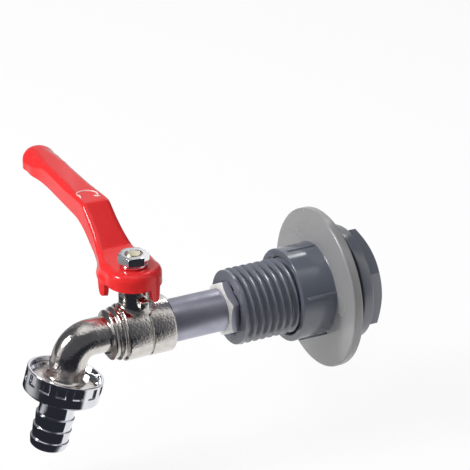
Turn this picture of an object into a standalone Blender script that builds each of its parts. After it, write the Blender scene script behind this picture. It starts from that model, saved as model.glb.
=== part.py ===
"""Lever ball tap on a plastic tank connector, with a hose union on its spout.

Everything is in metres, +Z up. The tap's axis is the Y axis: the spout points to -Y, the
tank is on the +Y side, and the origin is where the axis meets the tank's outer wall. Most
pieces are turned about that axis, so their profiles are written as (radius, station) pairs,
where a station is the distance out from the tank wall. The stem is vertical, and the lever
lies along -X, which is the closed position. The valve opens by turning the lever a quarter
turn, until it lies over the spout.
"""

import math

import bmesh
import bpy
from mathutils import Matrix, Vector

# Clearances
CLEARANCE = 0.0003
MERGE = 0.00005

# Tank wall and the seal behind it
TANK_WALL = 0.0030
GASKET_THICKNESS = 0.0030
GASKET_RADIUS = 0.0245

# Tank connector
CONNECTOR_RADIUS = 0.0166
CONNECTOR_END = 0.0460
CONNECTOR_BORE = 0.0090
SOCKET_DEPTH = 0.0160
THREAD_DEPTH = 0.0017
THREAD_LAND = 0.0016
THREAD_GROOVES = 7
HEAD_RADIUS = 0.0255
HEAD_THICKNESS = 0.0050
GRIP_ACROSS_FLATS = 0.0420
GRIP_LENGTH = 0.0070

# Flange nut
FLANGE_RADIUS = 0.03545
FLANGE_THICKNESS = 0.00435
COLLAR_RADIUS = 0.0205
COLLAR_END = 0.0203
RIB_COUNT = 5
RIB_RADIUS = 0.0008
RIB_SETBACK = 0.0021

# Inlet adapter
PIPE_THREAD_RADIUS = 0.0106
PIPE_THREAD_LENGTH = 0.0150
HEX_ACROSS_FLATS = 0.0220
HEX_THICKNESS = 0.0040
TUBE_RADIUS = 0.00923
TUBE_LENGTH = 0.0248
INLET_BORE = 0.0076
WATERWAY = 0.0050
TUBE_ENGAGEMENT = 0.0024
NOSE_LENGTH = 0.0006
SEAL_RING_RADIUS = 0.0005

# Ball, seats and cavity
BALL_RADIUS = 0.0080
BALL_BORE = 0.00475
CAVITY_RADIUS = 0.0084
SEAT_LENGTH = 0.0046
SEAT_BACK = 0.0012

# Body and spout, with places along the tap measured from the stem's axis
BARREL_RADIUS = 0.0122
BARREL_ROUNDING = 0.0010
STEM_TO_SEAM = 0.0032
STEM_TO_RING = 0.0093
STEM_TO_RIM = 0.0315
SEAM_DEPTH = 0.0003
RING_RADIUS = 0.0113
SECOND_RING_RADIUS = 0.0105
RING_PITCH = 0.0033
RING_SETBACK = 0.0023
SPOUT_SETBACK = 0.0010
SPOUT_RADIUS = 0.0062
SPOUT_BORE = 0.0046
SPOUT_RISE = 0.0013
SPOUT_BEND_RADIUS = 0.0140
SPOUT_TILT = math.radians(16.8)
RIM_HEIGHT = -0.0126

# Bonnet, stem and gland
BONNET_RADIUS = 0.0067
BONNET_TOP = 0.0200
LUG_REACH = 0.0114
LUG_WIDTH = 0.0040
LUG_HEIGHT = 0.0040
LUG_CENTRE = 0.0154
STEM_RADIUS = 0.0035
STEM_THREAD_RADIUS = 0.0034
STEM_FLAT = 0.0054
STEM_FLANGE_RADIUS = 0.0046
STEM_FLANGE_THICKNESS = 0.0014
STEM_TOP = 0.0350
TANG_WIDTH = 0.0070
TANG_THICKNESS = 0.0025
TANG_DEPTH = 0.0022
WASHER_THICKNESS = 0.0006
STEM_RING_RADIUS = 0.00045
GROOVE_HEIGHTS = (0.0134, 0.0158)
PACKING_CHAMBER_RADIUS = 0.0047
PACKING_CHAMBER_DEPTH = 0.0027
GLAND_ACROSS_FLATS = 0.0120
GLAND_HEIGHT = 0.0037

# Handle
HUB_RADIUS = 0.0116
HUB_TOP = 0.0293
SKIRT_BOTTOM = 0.0220
HANDLE_WALL = 0.0018
HANDLE_ROUNDING = 0.0022
RISER_START = 0.0190
RISER_END = 0.0395
GRIP_TOP = 0.0425
GRIP_DEPTH = 0.0092
TIP_CENTRE = 0.1073
TIP_RADIUS = 0.0078
TIP_DOME = 0.0052
TIP_UNDERCURVE = 0.0030
LEG_BOTTOM = 0.0160
CLOSED_LEG_ANGLE = math.radians(28.0)
OPEN_LEG_ANGLE = math.radians(22.0)
OPEN_LEG_FLARE = 0.0026
LEG_TAPER = 0.36
LEG_STEPS = 6
QUARTER_TURN = math.radians(90.0)
HANDLE_WASHER_RADIUS = 0.0063
HANDLE_WASHER_THICKNESS = 0.0012
HANDLE_NUT_ACROSS_FLATS = 0.0115
HANDLE_NUT_HEIGHT = 0.0036
HANDLE_NUT_TURN = math.radians(19.0)

# Half widths of the lever in plan, at distances from the stem axis
LEVER_WIDTHS = (
    (0.0080, 0.0118),
    (0.0130, 0.0104),
    (0.0180, 0.0088),
    (0.0250, 0.0073),
    (0.0340, 0.0066),
    (0.0500, 0.0062),
    (0.0760, 0.0058),
    (0.0920, 0.0056),
)

# Underside of the riser: distances back from the crease, and shares of the rise to the grip
RISER_UNDERSIDE = (
    (-0.0065, 1.00),
    (0.0015, 0.80),
    (0.0095, 0.44),
    (0.0175, 0.20),
    (0.0255, 0.03),
)

# Hose union
UNION_HEIGHT = 0.0106
UNION_LIP = 0.0012
UNION_WALL = 0.0028
UNION_RIM_WALL = 0.0014
POCKET_COUNT = 14
POCKET_WIDTH = 0.0043
POCKET_TOP = 0.0009
POCKET_HEIGHT = 0.0045
POCKET_DEPTH = 0.0008
OUTLET_COLLAR_RADIUS = 0.0131
OUTLET_COLLAR_TOP = 0.0030
OUTLET_COLLAR_HEIGHT = 0.0032
HOSE_WASHER_THICKNESS = 0.0012
TAIL_FLANGE_THICKNESS = 0.0011
TAIL_SHANK_RADIUS = 0.0085
TAIL_NECK_RADIUS = 0.0075
TAIL_BORE = 0.0056
TAIL_END = 0.0341
BARB_RADIUS = 0.0083
BARB_ROOT = 0.0076
BARB_PITCH = 0.0054
BARB_COUNT = 3
LAST_BARB_SETBACK = 0.0042

# Facets round a full turn
FINE = 56
MEDIUM = 40
COARSE = 24

# Stations and heights that follow from the sizes above
GASKET_OUTER = -TANK_WALL
GASKET_INNER = GASKET_OUTER - GASKET_THICKNESS
HEAD_OUTER = GASKET_INNER - CLEARANCE
HEAD_INNER = HEAD_OUTER - HEAD_THICKNESS
GRIP_END = HEAD_INNER - GRIP_LENGTH
THREAD_PITCH = (CONNECTOR_END - THREAD_LAND - COLLAR_END) / THREAD_GROOVES
HEX_INNER = CONNECTOR_END + CLEARANCE
HEX_OUTER = HEX_INNER + HEX_THICKNESS
PIPE_THREAD_END = HEX_INNER - PIPE_THREAD_LENGTH
BARREL_INNER = HEX_OUTER + TUBE_LENGTH
BODY_SOCKET = TUBE_RADIUS + CLEARANCE
SHOULDER = BARREL_INNER + TUBE_ENGAGEMENT
SEAL_RING_STATION = SHOULDER + CLEARANCE + SEAL_RING_RADIUS
SOCKET_FLOOR = SEAL_RING_STATION + SEAL_RING_RADIUS + CLEARANCE
NOSE_END = SOCKET_FLOOR + NOSE_LENGTH
NOSE_RADIUS = BODY_SOCKET - 2 * (SEAL_RING_RADIUS + CLEARANCE)
SEAT_RADIUS = CAVITY_RADIUS - CLEARANCE
SEAT_INNER = NOSE_END + CLEARANCE
STEM_STATION = SEAT_INNER + SEAT_BACK + BALL_RADIUS
SEAT_OUTER = 2 * STEM_STATION - SEAT_INNER
CAVITY_END = SEAT_OUTER + CLEARANCE
SEAM_STATION = STEM_STATION - STEM_TO_SEAM
RING_STATION = STEM_STATION + STEM_TO_RING
RIM_STATION = STEM_STATION + STEM_TO_RIM
BARREL_OUTER = RING_STATION - RING_SETBACK
SECOND_RING_STATION = RING_STATION + RING_PITCH
SPOUT_START = SECOND_RING_STATION + SPOUT_SETBACK
STEM_BORE = STEM_RADIUS + CLEARANCE
STEM_FLANGE_BOTTOM = CAVITY_RADIUS + CLEARANCE
STEM_FLANGE_TOP = STEM_FLANGE_BOTTOM + STEM_FLANGE_THICKNESS
THRUST_WASHER_BOTTOM = STEM_FLANGE_TOP + CLEARANCE
STEM_SHOULDER = THRUST_WASHER_BOTTOM + WASHER_THICKNESS + CLEARANCE
TANG_BOTTOM = BALL_RADIUS - TANG_DEPTH
PACKING_FLOOR = BONNET_TOP - PACKING_CHAMBER_DEPTH
GLAND_BOTTOM = BONNET_TOP + CLEARANCE
GLAND_TOP = GLAND_BOTTOM + GLAND_HEIGHT
HUB_CEILING = HUB_TOP - HANDLE_WALL - CLEARANCE
HANDLE_WASHER_BOTTOM = HUB_TOP + CLEARANCE
HANDLE_WASHER_TOP = HANDLE_WASHER_BOTTOM + HANDLE_WASHER_THICKNESS
HANDLE_NUT_BOTTOM = HANDLE_WASHER_TOP + CLEARANCE
LUG_HALF_ANGLE = math.asin((LUG_WIDTH / 2 + CLEARANCE) / (HUB_RADIUS - HANDLE_WALL))
OUTLET_COLLAR_BOTTOM = OUTLET_COLLAR_TOP + OUTLET_COLLAR_HEIGHT
HOSE_WASHER_TOP = OUTLET_COLLAR_BOTTOM + CLEARANCE
TAIL_FLANGE_TOP = HOSE_WASHER_TOP + HOSE_WASHER_THICKNESS + CLEARANCE
TAIL_FLANGE_BOTTOM = TAIL_FLANGE_TOP + TAIL_FLANGE_THICKNESS
UNION_BORE = OUTLET_COLLAR_RADIUS + CLEARANCE
UNION_RADIUS = UNION_BORE + UNION_WALL
FIRST_BARB = TAIL_END - LAST_BARB_SETBACK - (BARB_COUNT - 1) * BARB_PITCH

TAP_AXIS = (math.radians(90.0), 0.0, 0.0)
OUTLET_AXIS = (-SPOUT_TILT, 0.0, 0.0)
STEM_PLACE = Vector((0.0, -STEM_STATION, 0.0))
RIM_PLACE = Vector((0.0, -RIM_STATION, RIM_HEIGHT))

SCREW_PLASTIC = ("connector_plastic", (0.20, 0.22, 0.25), 0.30, 0.0)
NUT_PLASTIC = ("flange_plastic", (0.22, 0.24, 0.27), 0.25, 0.0)
BLACK_RUBBER = ("black_rubber", (0.02, 0.02, 0.02), 0.60, 0.0)
WHITE_SEAL = ("white_seal", (0.85, 0.85, 0.82), 0.45, 0.0)
NICKEL = ("nickel_plate", (0.62, 0.60, 0.56), 0.28, 1.0)
CHROME = ("chrome_plate", (0.75, 0.75, 0.78), 0.08, 1.0)
BALL_CHROME = ("ball_chrome", (0.80, 0.80, 0.82), 0.05, 1.0)
BRASS = ("bare_brass", (0.70, 0.52, 0.25), 0.30, 1.0)
ZINC = ("zinc_plate", (0.70, 0.72, 0.74), 0.25, 1.0)
RED_PAINT = ("red_paint", (0.72, 0.03, 0.03), 0.22, 0.0)


def clear_scene():
    """Remove every object that the file starts with."""
    for item in list(bpy.data.objects):
        bpy.data.objects.remove(item, do_unlink=True)


def new_collection(name):
    """Make a collection in the scene."""
    collection = bpy.data.collections.new(name)
    bpy.context.scene.collection.children.link(collection)
    return collection


clear_scene()
TAP = new_collection("water_tank_tap")
CUTTERS = new_collection("cutters")


def material(finish):
    """Return the material of a finish, made the first time it is asked for."""
    name, colour, roughness, metallic = finish
    made = bpy.data.materials.get(name)
    if made:
        return made
    made = bpy.data.materials.new(name)
    made.use_nodes = True
    shader = made.node_tree.nodes["Principled BSDF"]
    shader.inputs["Base Color"].default_value = (*colour, 1.0)
    shader.inputs["Roughness"].default_value = roughness
    shader.inputs["Metallic"].default_value = metallic
    made.diffuse_color = (*colour, 1.0)
    return made


def add_object(name, mesh, finish, place=(0, 0, 0), turn=(0, 0, 0)):
    """Link a mesh as a piece of the tap, or as a cutter where it has no finish."""
    item = bpy.data.objects.new(name, mesh)
    item.location = place
    item.rotation_euler = turn
    if finish is None:
        CUTTERS.objects.link(item)
        item.hide_render = True
        item.display_type = "WIRE"
    else:
        TAP.objects.link(item)
        mesh.materials.clear()
        mesh.materials.append(material(finish))
    return item


def turned(name, profile, finish, place=(0, 0, 0), turn=(0, 0, 0), steps=MEDIUM):
    """Turn a profile of (radius, height) points about the local Z axis.

    The outer side is listed from the top down. A profile whose two ends lie on the axis
    makes a solid, and any other profile is closed into a ring.
    """
    mesh = bpy.data.meshes.new(name)
    points = [(radius, 0.0, height) for radius, height in profile]
    edges = [(i, i + 1) for i in range(len(points) - 1)]
    if profile[0][0] > 0 or profile[-1][0] > 0:
        edges.append((len(points) - 1, 0))
    mesh.from_pydata(points, edges, [])
    item = add_object(name, mesh, finish, place, turn)
    screw = item.modifiers.new("Screw", "SCREW")
    screw.axis = "Z"
    screw.steps = steps
    screw.render_steps = steps
    screw.use_merge_vertices = True
    screw.merge_threshold = MERGE
    screw.use_smooth_shade = True
    return item


def boolean(item, tool, operation="DIFFERENCE"):
    """Cut a piece with a tool, or join the tool to it."""
    modifier = item.modifiers.new(f"{operation.title()} {tool.name}", "BOOLEAN")
    modifier.operation = operation
    modifier.solver = "EXACT"
    modifier.object = tool
    return item


def weld(item):
    """Merge the near-coincident corners that a run of cuts leaves behind."""
    modifier = item.modifiers.new("Weld", "WELD")
    modifier.merge_threshold = MERGE / 5
    return item


def box(name, low, high, place=(0, 0, 0), turn=(0, 0, 0)):
    """Make a box tool between two corners."""
    low, high = Vector(low), Vector(high)
    work = bmesh.new()
    bmesh.ops.create_cube(work, size=1.0)
    bmesh.ops.scale(work, vec=high - low, verts=work.verts)
    bmesh.ops.translate(work, vec=(low + high) / 2, verts=work.verts)
    mesh = bpy.data.meshes.new(name)
    work.to_mesh(mesh)
    work.free()
    return add_object(name, mesh, None, place, turn)


def hexagon(name, across_flats, bottom, top, finish=None, place=(0, 0, 0), turn=(0, 0, 0),
            top_chamfer=True, bottom_chamfer=False):
    """Make a hexagonal prism along the local Z axis, with its corners turned down."""
    corner = across_flats / 2 / math.cos(math.pi / 6)
    work = bmesh.new()
    bmesh.ops.create_cone(work, cap_ends=True, segments=6, radius1=corner, radius2=corner,
                          depth=top - bottom)
    bmesh.ops.translate(work, vec=(0, 0, (top + bottom) / 2), verts=work.verts)
    mesh = bpy.data.meshes.new(name)
    work.to_mesh(mesh)
    work.free()
    item = add_object(name, mesh, finish, place, turn)
    inner = across_flats / 2 * 0.97
    reach = corner * 1.1
    drop = (reach - inner) * math.tan(math.radians(30.0))
    over = 0.001
    limits = [(reach, top - drop if top_chamfer else top + over),
              (reach, bottom + drop if bottom_chamfer else bottom - over)]
    if top_chamfer:
        limits.insert(0, (inner, top))
        limits.insert(0, (0.0, top))
    else:
        limits.insert(0, (0.0, top + over))
    if bottom_chamfer:
        limits += [(inner, bottom), (0.0, bottom)]
    else:
        limits += [(0.0, bottom - over)]
    return boolean(item, turned(name + "_chamfer", limits, None, place, turn), "INTERSECT")


def arc(centre, radius, start, end, count):
    """Points on an arc of a circle, from one angle to another, both included."""
    step = (end - start) / count
    return [(centre[0] + radius * math.cos(start + step * i),
             centre[1] + radius * math.sin(start + step * i)) for i in range(count + 1)]


def torus(name, major, minor, finish, place, turn=(0, 0, 0)):
    """Make a seal ring of round section."""
    section = arc((major, 0.0), minor, math.pi / 2, -1.5 * math.pi, 8)[:-1]
    return turned(name, section, finish, place, turn, COARSE)


def mesh_from_curve(curve_object, name, finish=None):
    """Turn a curve object into a welded mesh object in the same place, and remove the curve."""
    bpy.context.view_layer.update()
    graph = bpy.context.evaluated_depsgraph_get()
    mesh = bpy.data.meshes.new_from_object(curve_object.evaluated_get(graph))
    work = bmesh.new()
    work.from_mesh(mesh)
    bmesh.ops.remove_doubles(work, verts=work.verts, dist=MERGE / 10)
    bmesh.ops.dissolve_limit(work, angle_limit=math.radians(0.5), verts=work.verts,
                             edges=work.edges)
    bmesh.ops.recalc_face_normals(work, faces=work.faces)
    work.to_mesh(mesh)
    work.free()
    item = add_object(name, mesh, finish)
    item.matrix_world = curve_object.matrix_world
    bpy.data.objects.remove(curve_object, do_unlink=True)
    return item


def prism(name, outline, thickness, matrix, bezier=False):
    """Extrude a flat closed outline by half its thickness to each side of its plane."""
    curve = bpy.data.curves.new(name + "_outline", "CURVE")
    curve.dimensions = "2D"
    curve.fill_mode = "BOTH"
    curve.extrude = thickness / 2
    curve.resolution_u = 3
    spline = curve.splines.new("BEZIER" if bezier else "POLY")
    points = spline.bezier_points if bezier else spline.points
    points.add(len(outline) - 1)
    for point, place in zip(points, outline):
        if bezier:
            point.co = (place[0], place[1], 0.0)
            point.handle_left_type = "AUTO"
            point.handle_right_type = "AUTO"
        else:
            point.co = (place[0], place[1], 0.0, 1.0)
    spline.use_cyclic_u = True
    item = bpy.data.objects.new(name + "_outline", curve)
    CUTTERS.objects.link(item)
    item.matrix_world = matrix
    return mesh_from_curve(item, name)


def swept_tube(name, path, radius):
    """Sweep a circle along a path of points."""
    curve = bpy.data.curves.new(name + "_path", "CURVE")
    curve.dimensions = "3D"
    curve.bevel_depth = radius
    curve.bevel_resolution = 7
    curve.use_fill_caps = True
    spline = curve.splines.new("POLY")
    spline.points.add(len(path) - 1)
    for point, place in zip(spline.points, path):
        point.co = (*place, 1.0)
    item = bpy.data.objects.new(name + "_path", curve)
    CUTTERS.objects.link(item)
    return mesh_from_curve(item, name)


def tank_connector():
    """The threaded connector: a barrel through the wall, with its head inside the tank.

    Rings stand for the thread where it can be seen. The rest of it, inside the nut and the
    wall, is a plain cylinder.
    """
    chamfer = 0.0010
    flank = THREAD_PITCH / 3
    rings = []
    for index in range(THREAD_GROOVES):
        root = CONNECTOR_END - THREAD_LAND - (index + 0.5) * THREAD_PITCH
        rings += [(CONNECTOR_RADIUS, root + flank), (CONNECTOR_RADIUS - THREAD_DEPTH, root),
                  (CONNECTOR_RADIUS, root - flank)]
    item = turned("tank_connector", [
        (0.0, CONNECTOR_END),
        (CONNECTOR_RADIUS - chamfer, CONNECTOR_END),
        (CONNECTOR_RADIUS, CONNECTOR_END - chamfer),
        *rings,
        (CONNECTOR_RADIUS, HEAD_OUTER),
        (HEAD_RADIUS, HEAD_OUTER),
        (HEAD_RADIUS, HEAD_INNER + chamfer / 2),
        (HEAD_RADIUS - chamfer / 2, HEAD_INNER),
        (0.0, HEAD_INNER),
    ], SCREW_PLASTIC, turn=TAP_AXIS, steps=FINE)
    grip = hexagon("connector_grip", GRIP_ACROSS_FLATS, GRIP_END, HEAD_INNER + chamfer,
                   turn=TAP_AXIS, top_chamfer=False, bottom_chamfer=True)
    boolean(item, grip, "UNION")
    socket = PIPE_THREAD_RADIUS + CLEARANCE
    socket_floor = CONNECTOR_END - SOCKET_DEPTH
    bore = turned("connector_bore", [
        (0.0, CONNECTOR_END + chamfer),
        (socket + 1.5 * chamfer, CONNECTOR_END + chamfer),
        (socket, CONNECTOR_END - chamfer / 2),
        (socket, socket_floor),
        (CONNECTOR_BORE, socket_floor),
        (CONNECTOR_BORE, GRIP_END - chamfer),
        (0.0, GRIP_END - chamfer),
    ], None, turn=TAP_AXIS)
    return boolean(item, bore)


def flange_nut():
    """The broad nut that clamps the connector to the wall, with ribs along its collar."""
    bore = CONNECTOR_RADIUS + CLEARANCE
    edge = 0.0005
    item = turned("flange_nut", [
        (COLLAR_RADIUS - edge, COLLAR_END),
        (COLLAR_RADIUS, COLLAR_END - edge),
        (COLLAR_RADIUS, FLANGE_THICKNESS + edge),
        (COLLAR_RADIUS + edge, FLANGE_THICKNESS),
        (FLANGE_RADIUS - 2 * edge, FLANGE_THICKNESS),
        (FLANGE_RADIUS - edge / 2, FLANGE_THICKNESS - edge / 2),
        (FLANGE_RADIUS, FLANGE_THICKNESS - 2 * edge),
        (FLANGE_RADIUS, edge / 2),
        (FLANGE_RADIUS - edge / 2, 0.0),
        (bore, 0.0),
        (bore, COLLAR_END - 2 * edge),
        (bore + 2 * edge, COLLAR_END),
    ], NUT_PLASTIC, turn=TAP_AXIS, steps=FINE)
    return boolean(item, rib_tool(), "UNION")


def rib_tool():
    """Round ribs with domed ends, spaced round the nut's collar."""
    front = COLLAR_END - RIB_SETBACK - RIB_RADIUS
    rear = FLANGE_THICKNESS / 2
    work = bmesh.new()
    for index in range(RIB_COUNT):
        angle = math.radians(90.0) + index * 2 * math.pi / RIB_COUNT
        place = Vector((math.cos(angle), math.sin(angle), 0.0)) * (COLLAR_RADIUS - RIB_RADIUS / 4)
        made = bmesh.ops.create_uvsphere(work, u_segments=12, v_segments=8, radius=RIB_RADIUS)
        for vert in made["verts"]:
            stretch = front if vert.co.z > RIB_RADIUS / 20 else rear
            vert.co = Vector((vert.co.x, vert.co.y, vert.co.z + stretch)) + place
    mesh = bpy.data.meshes.new("collar_ribs")
    work.to_mesh(mesh)
    work.free()
    return add_object("collar_ribs", mesh, None, turn=TAP_AXIS)


def head_gasket():
    """The rubber gasket between the tank's inner wall and the connector's head."""
    bore = CONNECTOR_RADIUS + CLEARANCE
    edge = 0.0003
    return turned("head_gasket", [
        (GASKET_RADIUS - edge, GASKET_OUTER),
        (GASKET_RADIUS, GASKET_OUTER - edge),
        (GASKET_RADIUS, GASKET_INNER + edge),
        (GASKET_RADIUS - edge, GASKET_INNER),
        (bore, GASKET_INNER),
        (bore, GASKET_OUTER),
    ], BLACK_RUBBER, turn=TAP_AXIS)


def end_adapter():
    """The tap's inlet end: pipe thread, hexagon, and the tube whose nose enters the body."""
    edge = 0.0004
    core = (HEX_INNER + HEX_OUTER) / 2
    item = turned("end_adapter", [
        (NOSE_RADIUS, NOSE_END),
        (NOSE_RADIUS, SHOULDER),
        (TUBE_RADIUS, SHOULDER),
        (TUBE_RADIUS, core),
        (PIPE_THREAD_RADIUS, core),
        (PIPE_THREAD_RADIUS, PIPE_THREAD_END + 2 * edge),
        (PIPE_THREAD_RADIUS - 2 * edge, PIPE_THREAD_END),
        (INLET_BORE, PIPE_THREAD_END),
        (INLET_BORE, BARREL_INNER - TUBE_LENGTH / 2),
        (WATERWAY, BARREL_INNER - TUBE_LENGTH / 2 + INLET_BORE - WATERWAY),
        (WATERWAY, NOSE_END),
    ], NICKEL, turn=TAP_AXIS)
    grip = hexagon("adapter_hexagon", HEX_ACROSS_FLATS, HEX_INNER, HEX_OUTER, turn=TAP_AXIS)
    grip.rotation_euler.rotate_axis("Z", math.radians(30.0))
    passage = turned("adapter_passage", [
        (0.0, HEX_OUTER + edge),
        (INLET_BORE + edge, HEX_OUTER + edge),
        (INLET_BORE + edge, HEX_INNER - edge),
        (0.0, HEX_INNER - edge),
    ], None, turn=TAP_AXIS)
    boolean(grip, passage)
    return weld(boolean(item, grip, "UNION"))


def seal_ring():
    """The round rubber ring between the adapter's shoulder and the body's socket."""
    middle = (NOSE_RADIUS + BODY_SOCKET) / 2
    place = (0.0, -SEAL_RING_STATION, 0.0)
    return torus("adapter_o_ring", middle, SEAL_RING_RADIUS, BLACK_RUBBER, place, TAP_AXIS)


def spout_path(start, run_past):
    """Centre line of the spout: out along the tap, round the bend and down to the outlet."""
    down = Vector((0.0, -math.sin(SPOUT_TILT), -math.cos(SPOUT_TILT)))
    climb = (SPOUT_RISE - RIM_HEIGHT) / math.cos(SPOUT_TILT)
    corner = RIM_PLACE - down * climb
    turn = QUARTER_TURN - SPOUT_TILT
    tangent = SPOUT_BEND_RADIUS * math.tan(turn / 2)
    centre = corner + Vector((0.0, tangent, -SPOUT_BEND_RADIUS))
    steps = 12
    bend = []
    for i in range(steps + 1):
        angle = turn * i / steps
        offset = Vector((0.0, -math.sin(angle), math.cos(angle))) * SPOUT_BEND_RADIUS
        bend.append(centre + offset)
    first = Vector((0.0, -start, SPOUT_RISE))
    last = RIM_PLACE + down * run_past
    return [first, *bend, last]


def valve_body():
    """The cast body: barrel, rings, bonnet with its stop lug, spout and outlet collar."""
    edge = 0.0003
    rounding = arc((BARREL_RADIUS - BARREL_ROUNDING, BARREL_INNER + BARREL_ROUNDING),
                   BARREL_ROUNDING, 0.0, -math.pi / 2, 4)
    groove = RING_RADIUS - SECOND_RING_RADIUS
    half = RING_PITCH / 4
    item = turned("valve_body", [
        (0.0, SPOUT_START + edge),
        (SPOUT_RADIUS + 2 * SPOUT_RISE - edge, SPOUT_START + edge),
        (SPOUT_RADIUS + 2 * SPOUT_RISE, SPOUT_START - edge),
        (SECOND_RING_RADIUS - edge, SECOND_RING_STATION + half),
        (SECOND_RING_RADIUS, SECOND_RING_STATION + half / 2),
        (SECOND_RING_RADIUS, SECOND_RING_STATION - half / 2),
        (SECOND_RING_RADIUS - groove, SECOND_RING_STATION - half - edge),
        (RING_RADIUS - edge, RING_STATION + half),
        (RING_RADIUS, RING_STATION + half / 2),
        (RING_RADIUS, RING_STATION - half / 2),
        (RING_RADIUS - groove, RING_STATION - half - edge),
        (BARREL_RADIUS - groove, BARREL_OUTER + 2 * edge),
        (BARREL_RADIUS, BARREL_OUTER - edge),
        (BARREL_RADIUS, SEAM_STATION + SEAM_DEPTH),
        (BARREL_RADIUS - SEAM_DEPTH, SEAM_STATION),
        (BARREL_RADIUS, SEAM_STATION - SEAM_DEPTH),
        *rounding,
        (0.0, BARREL_INNER),
    ], NICKEL, turn=TAP_AXIS)
    for tool in (bonnet_tool(), lug_tool(), outlet_tool(),
                 swept_tube("spout_tube", spout_path(CAVITY_END, OUTLET_COLLAR_TOP + 4 * edge),
                            SPOUT_RADIUS)):
        boolean(item, tool, "UNION")
    waterway = swept_tube("spout_bore", spout_path(CAVITY_END - edge, UNION_HEIGHT), SPOUT_BORE)
    for tool in (waterway, cavity_tool(), stem_bore_tool()):
        boolean(weld(item), tool)
    return weld(item)


def bonnet_tool():
    """The tower round the stem, with a flared foot on the barrel."""
    edge = 0.0004
    flare = 0.0015
    return turned("bonnet", [
        (0.0, BONNET_TOP),
        (BONNET_RADIUS - edge, BONNET_TOP),
        (BONNET_RADIUS, BONNET_TOP - edge),
        (BONNET_RADIUS, BARREL_RADIUS + 1.3 * flare),
        (BONNET_RADIUS + flare / 3, BARREL_RADIUS + flare / 3),
        (BONNET_RADIUS + flare, BARREL_RADIUS - flare / 2),
        (BONNET_RADIUS + flare, CAVITY_RADIUS / 2),
        (0.0, CAVITY_RADIUS / 2),
    ], None, STEM_PLACE, steps=COARSE)


def lug_tool():
    """The stop lug on the side of the bonnet, which the handle's legs meet."""
    tool = box("stop_lug",
               (BONNET_RADIUS / 2, -LUG_WIDTH / 2, LUG_CENTRE - LUG_HEIGHT / 2),
               (LUG_REACH, LUG_WIDTH / 2, LUG_CENTRE + LUG_HEIGHT / 2), STEM_PLACE)
    bevel = tool.modifiers.new("Bevel", "BEVEL")
    bevel.width = 0.0004
    bevel.segments = 2
    return tool


def outlet_tool():
    """The outlet's threaded collar, with the flare that joins it to the spout."""
    edge = 0.0005
    return turned("outlet_collar", [
        (0.0, -OUTLET_COLLAR_TOP + 5 * edge),
        (SPOUT_RADIUS - edge / 5, -OUTLET_COLLAR_TOP + 5 * edge),
        (SPOUT_RADIUS + edge, -OUTLET_COLLAR_TOP + 2 * edge),
        (SPOUT_RADIUS + 4 * edge, -OUTLET_COLLAR_TOP + edge / 2),
        (OUTLET_COLLAR_RADIUS - edge, -OUTLET_COLLAR_TOP),
        (OUTLET_COLLAR_RADIUS, -OUTLET_COLLAR_TOP - edge),
        (OUTLET_COLLAR_RADIUS, -OUTLET_COLLAR_BOTTOM),
        (0.0, -OUTLET_COLLAR_BOTTOM),
    ], None, RIM_PLACE, OUTLET_AXIS)


def cavity_tool():
    """The adapter's socket, the ball's chamber and the port at the far end of it."""
    port = WATERWAY
    past = 0.0010
    return turned("cavity", [
        (0.0, CAVITY_END + 2 * past),
        (port, CAVITY_END + 2 * past),
        (port, CAVITY_END),
        (CAVITY_RADIUS, CAVITY_END),
        (CAVITY_RADIUS, SOCKET_FLOOR),
        (BODY_SOCKET, SOCKET_FLOOR),
        (BODY_SOCKET, BARREL_INNER - past),
        (0.0, BARREL_INNER - past),
    ], None, turn=TAP_AXIS)


def stem_bore_tool():
    """The stem's bore: flange pocket, bore and packing chamber."""
    flange_pocket = STEM_FLANGE_RADIUS + CLEARANCE
    past = 0.0010
    return turned("stem_bore", [
        (0.0, BONNET_TOP + past),
        (PACKING_CHAMBER_RADIUS, BONNET_TOP + past),
        (PACKING_CHAMBER_RADIUS, PACKING_FLOOR),
        (STEM_BORE, PACKING_FLOOR),
        (STEM_BORE, STEM_SHOULDER),
        (flange_pocket, STEM_SHOULDER),
        (flange_pocket, BALL_BORE),
        (0.0, BALL_BORE),
    ], None, STEM_PLACE, steps=COARSE)


def ball():
    """The ball, with its bore across the tap and a slot on top for the stem's tang."""
    work = bmesh.new()
    bmesh.ops.create_uvsphere(work, u_segments=COARSE, v_segments=COARSE // 2,
                              radius=BALL_RADIUS)
    mesh = bpy.data.meshes.new("ball")
    work.to_mesh(mesh)
    work.free()
    item = add_object("ball", mesh, BALL_CHROME, STEM_PLACE)
    across = (0.0, math.radians(90.0), 0.0)
    reach = BALL_RADIUS + CLEARANCE
    bore = turned("ball_bore", [(0.0, reach), (BALL_BORE, reach), (BALL_BORE, -reach),
                                (0.0, -reach)], None, STEM_PLACE, across, COARSE)
    slot = box("ball_slot",
               (-TANG_THICKNESS / 2 - CLEARANCE, -reach, TANG_BOTTOM - CLEARANCE),
               (TANG_THICKNESS / 2 + CLEARANCE, reach, reach), STEM_PLACE)
    boolean(item, bore)
    return boolean(item, slot)


def seat(name, low, high):
    """A seat ring whose inner corner is hollowed to the ball."""
    item = turned(name, [
        (SEAT_RADIUS, high),
        (SEAT_RADIUS, low),
        (WATERWAY, low),
        (WATERWAY, high),
    ], WHITE_SEAL, turn=TAP_AXIS)
    hollow = turned(name + "_hollow",
                    arc((0.0, 0.0), BALL_RADIUS + CLEARANCE, math.pi / 2, -math.pi / 2, 12),
                    None, STEM_PLACE, TAP_AXIS)
    for end in (0, -1):
        hollow.data.vertices[end].co.x = 0.0
    return boolean(item, hollow)


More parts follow.
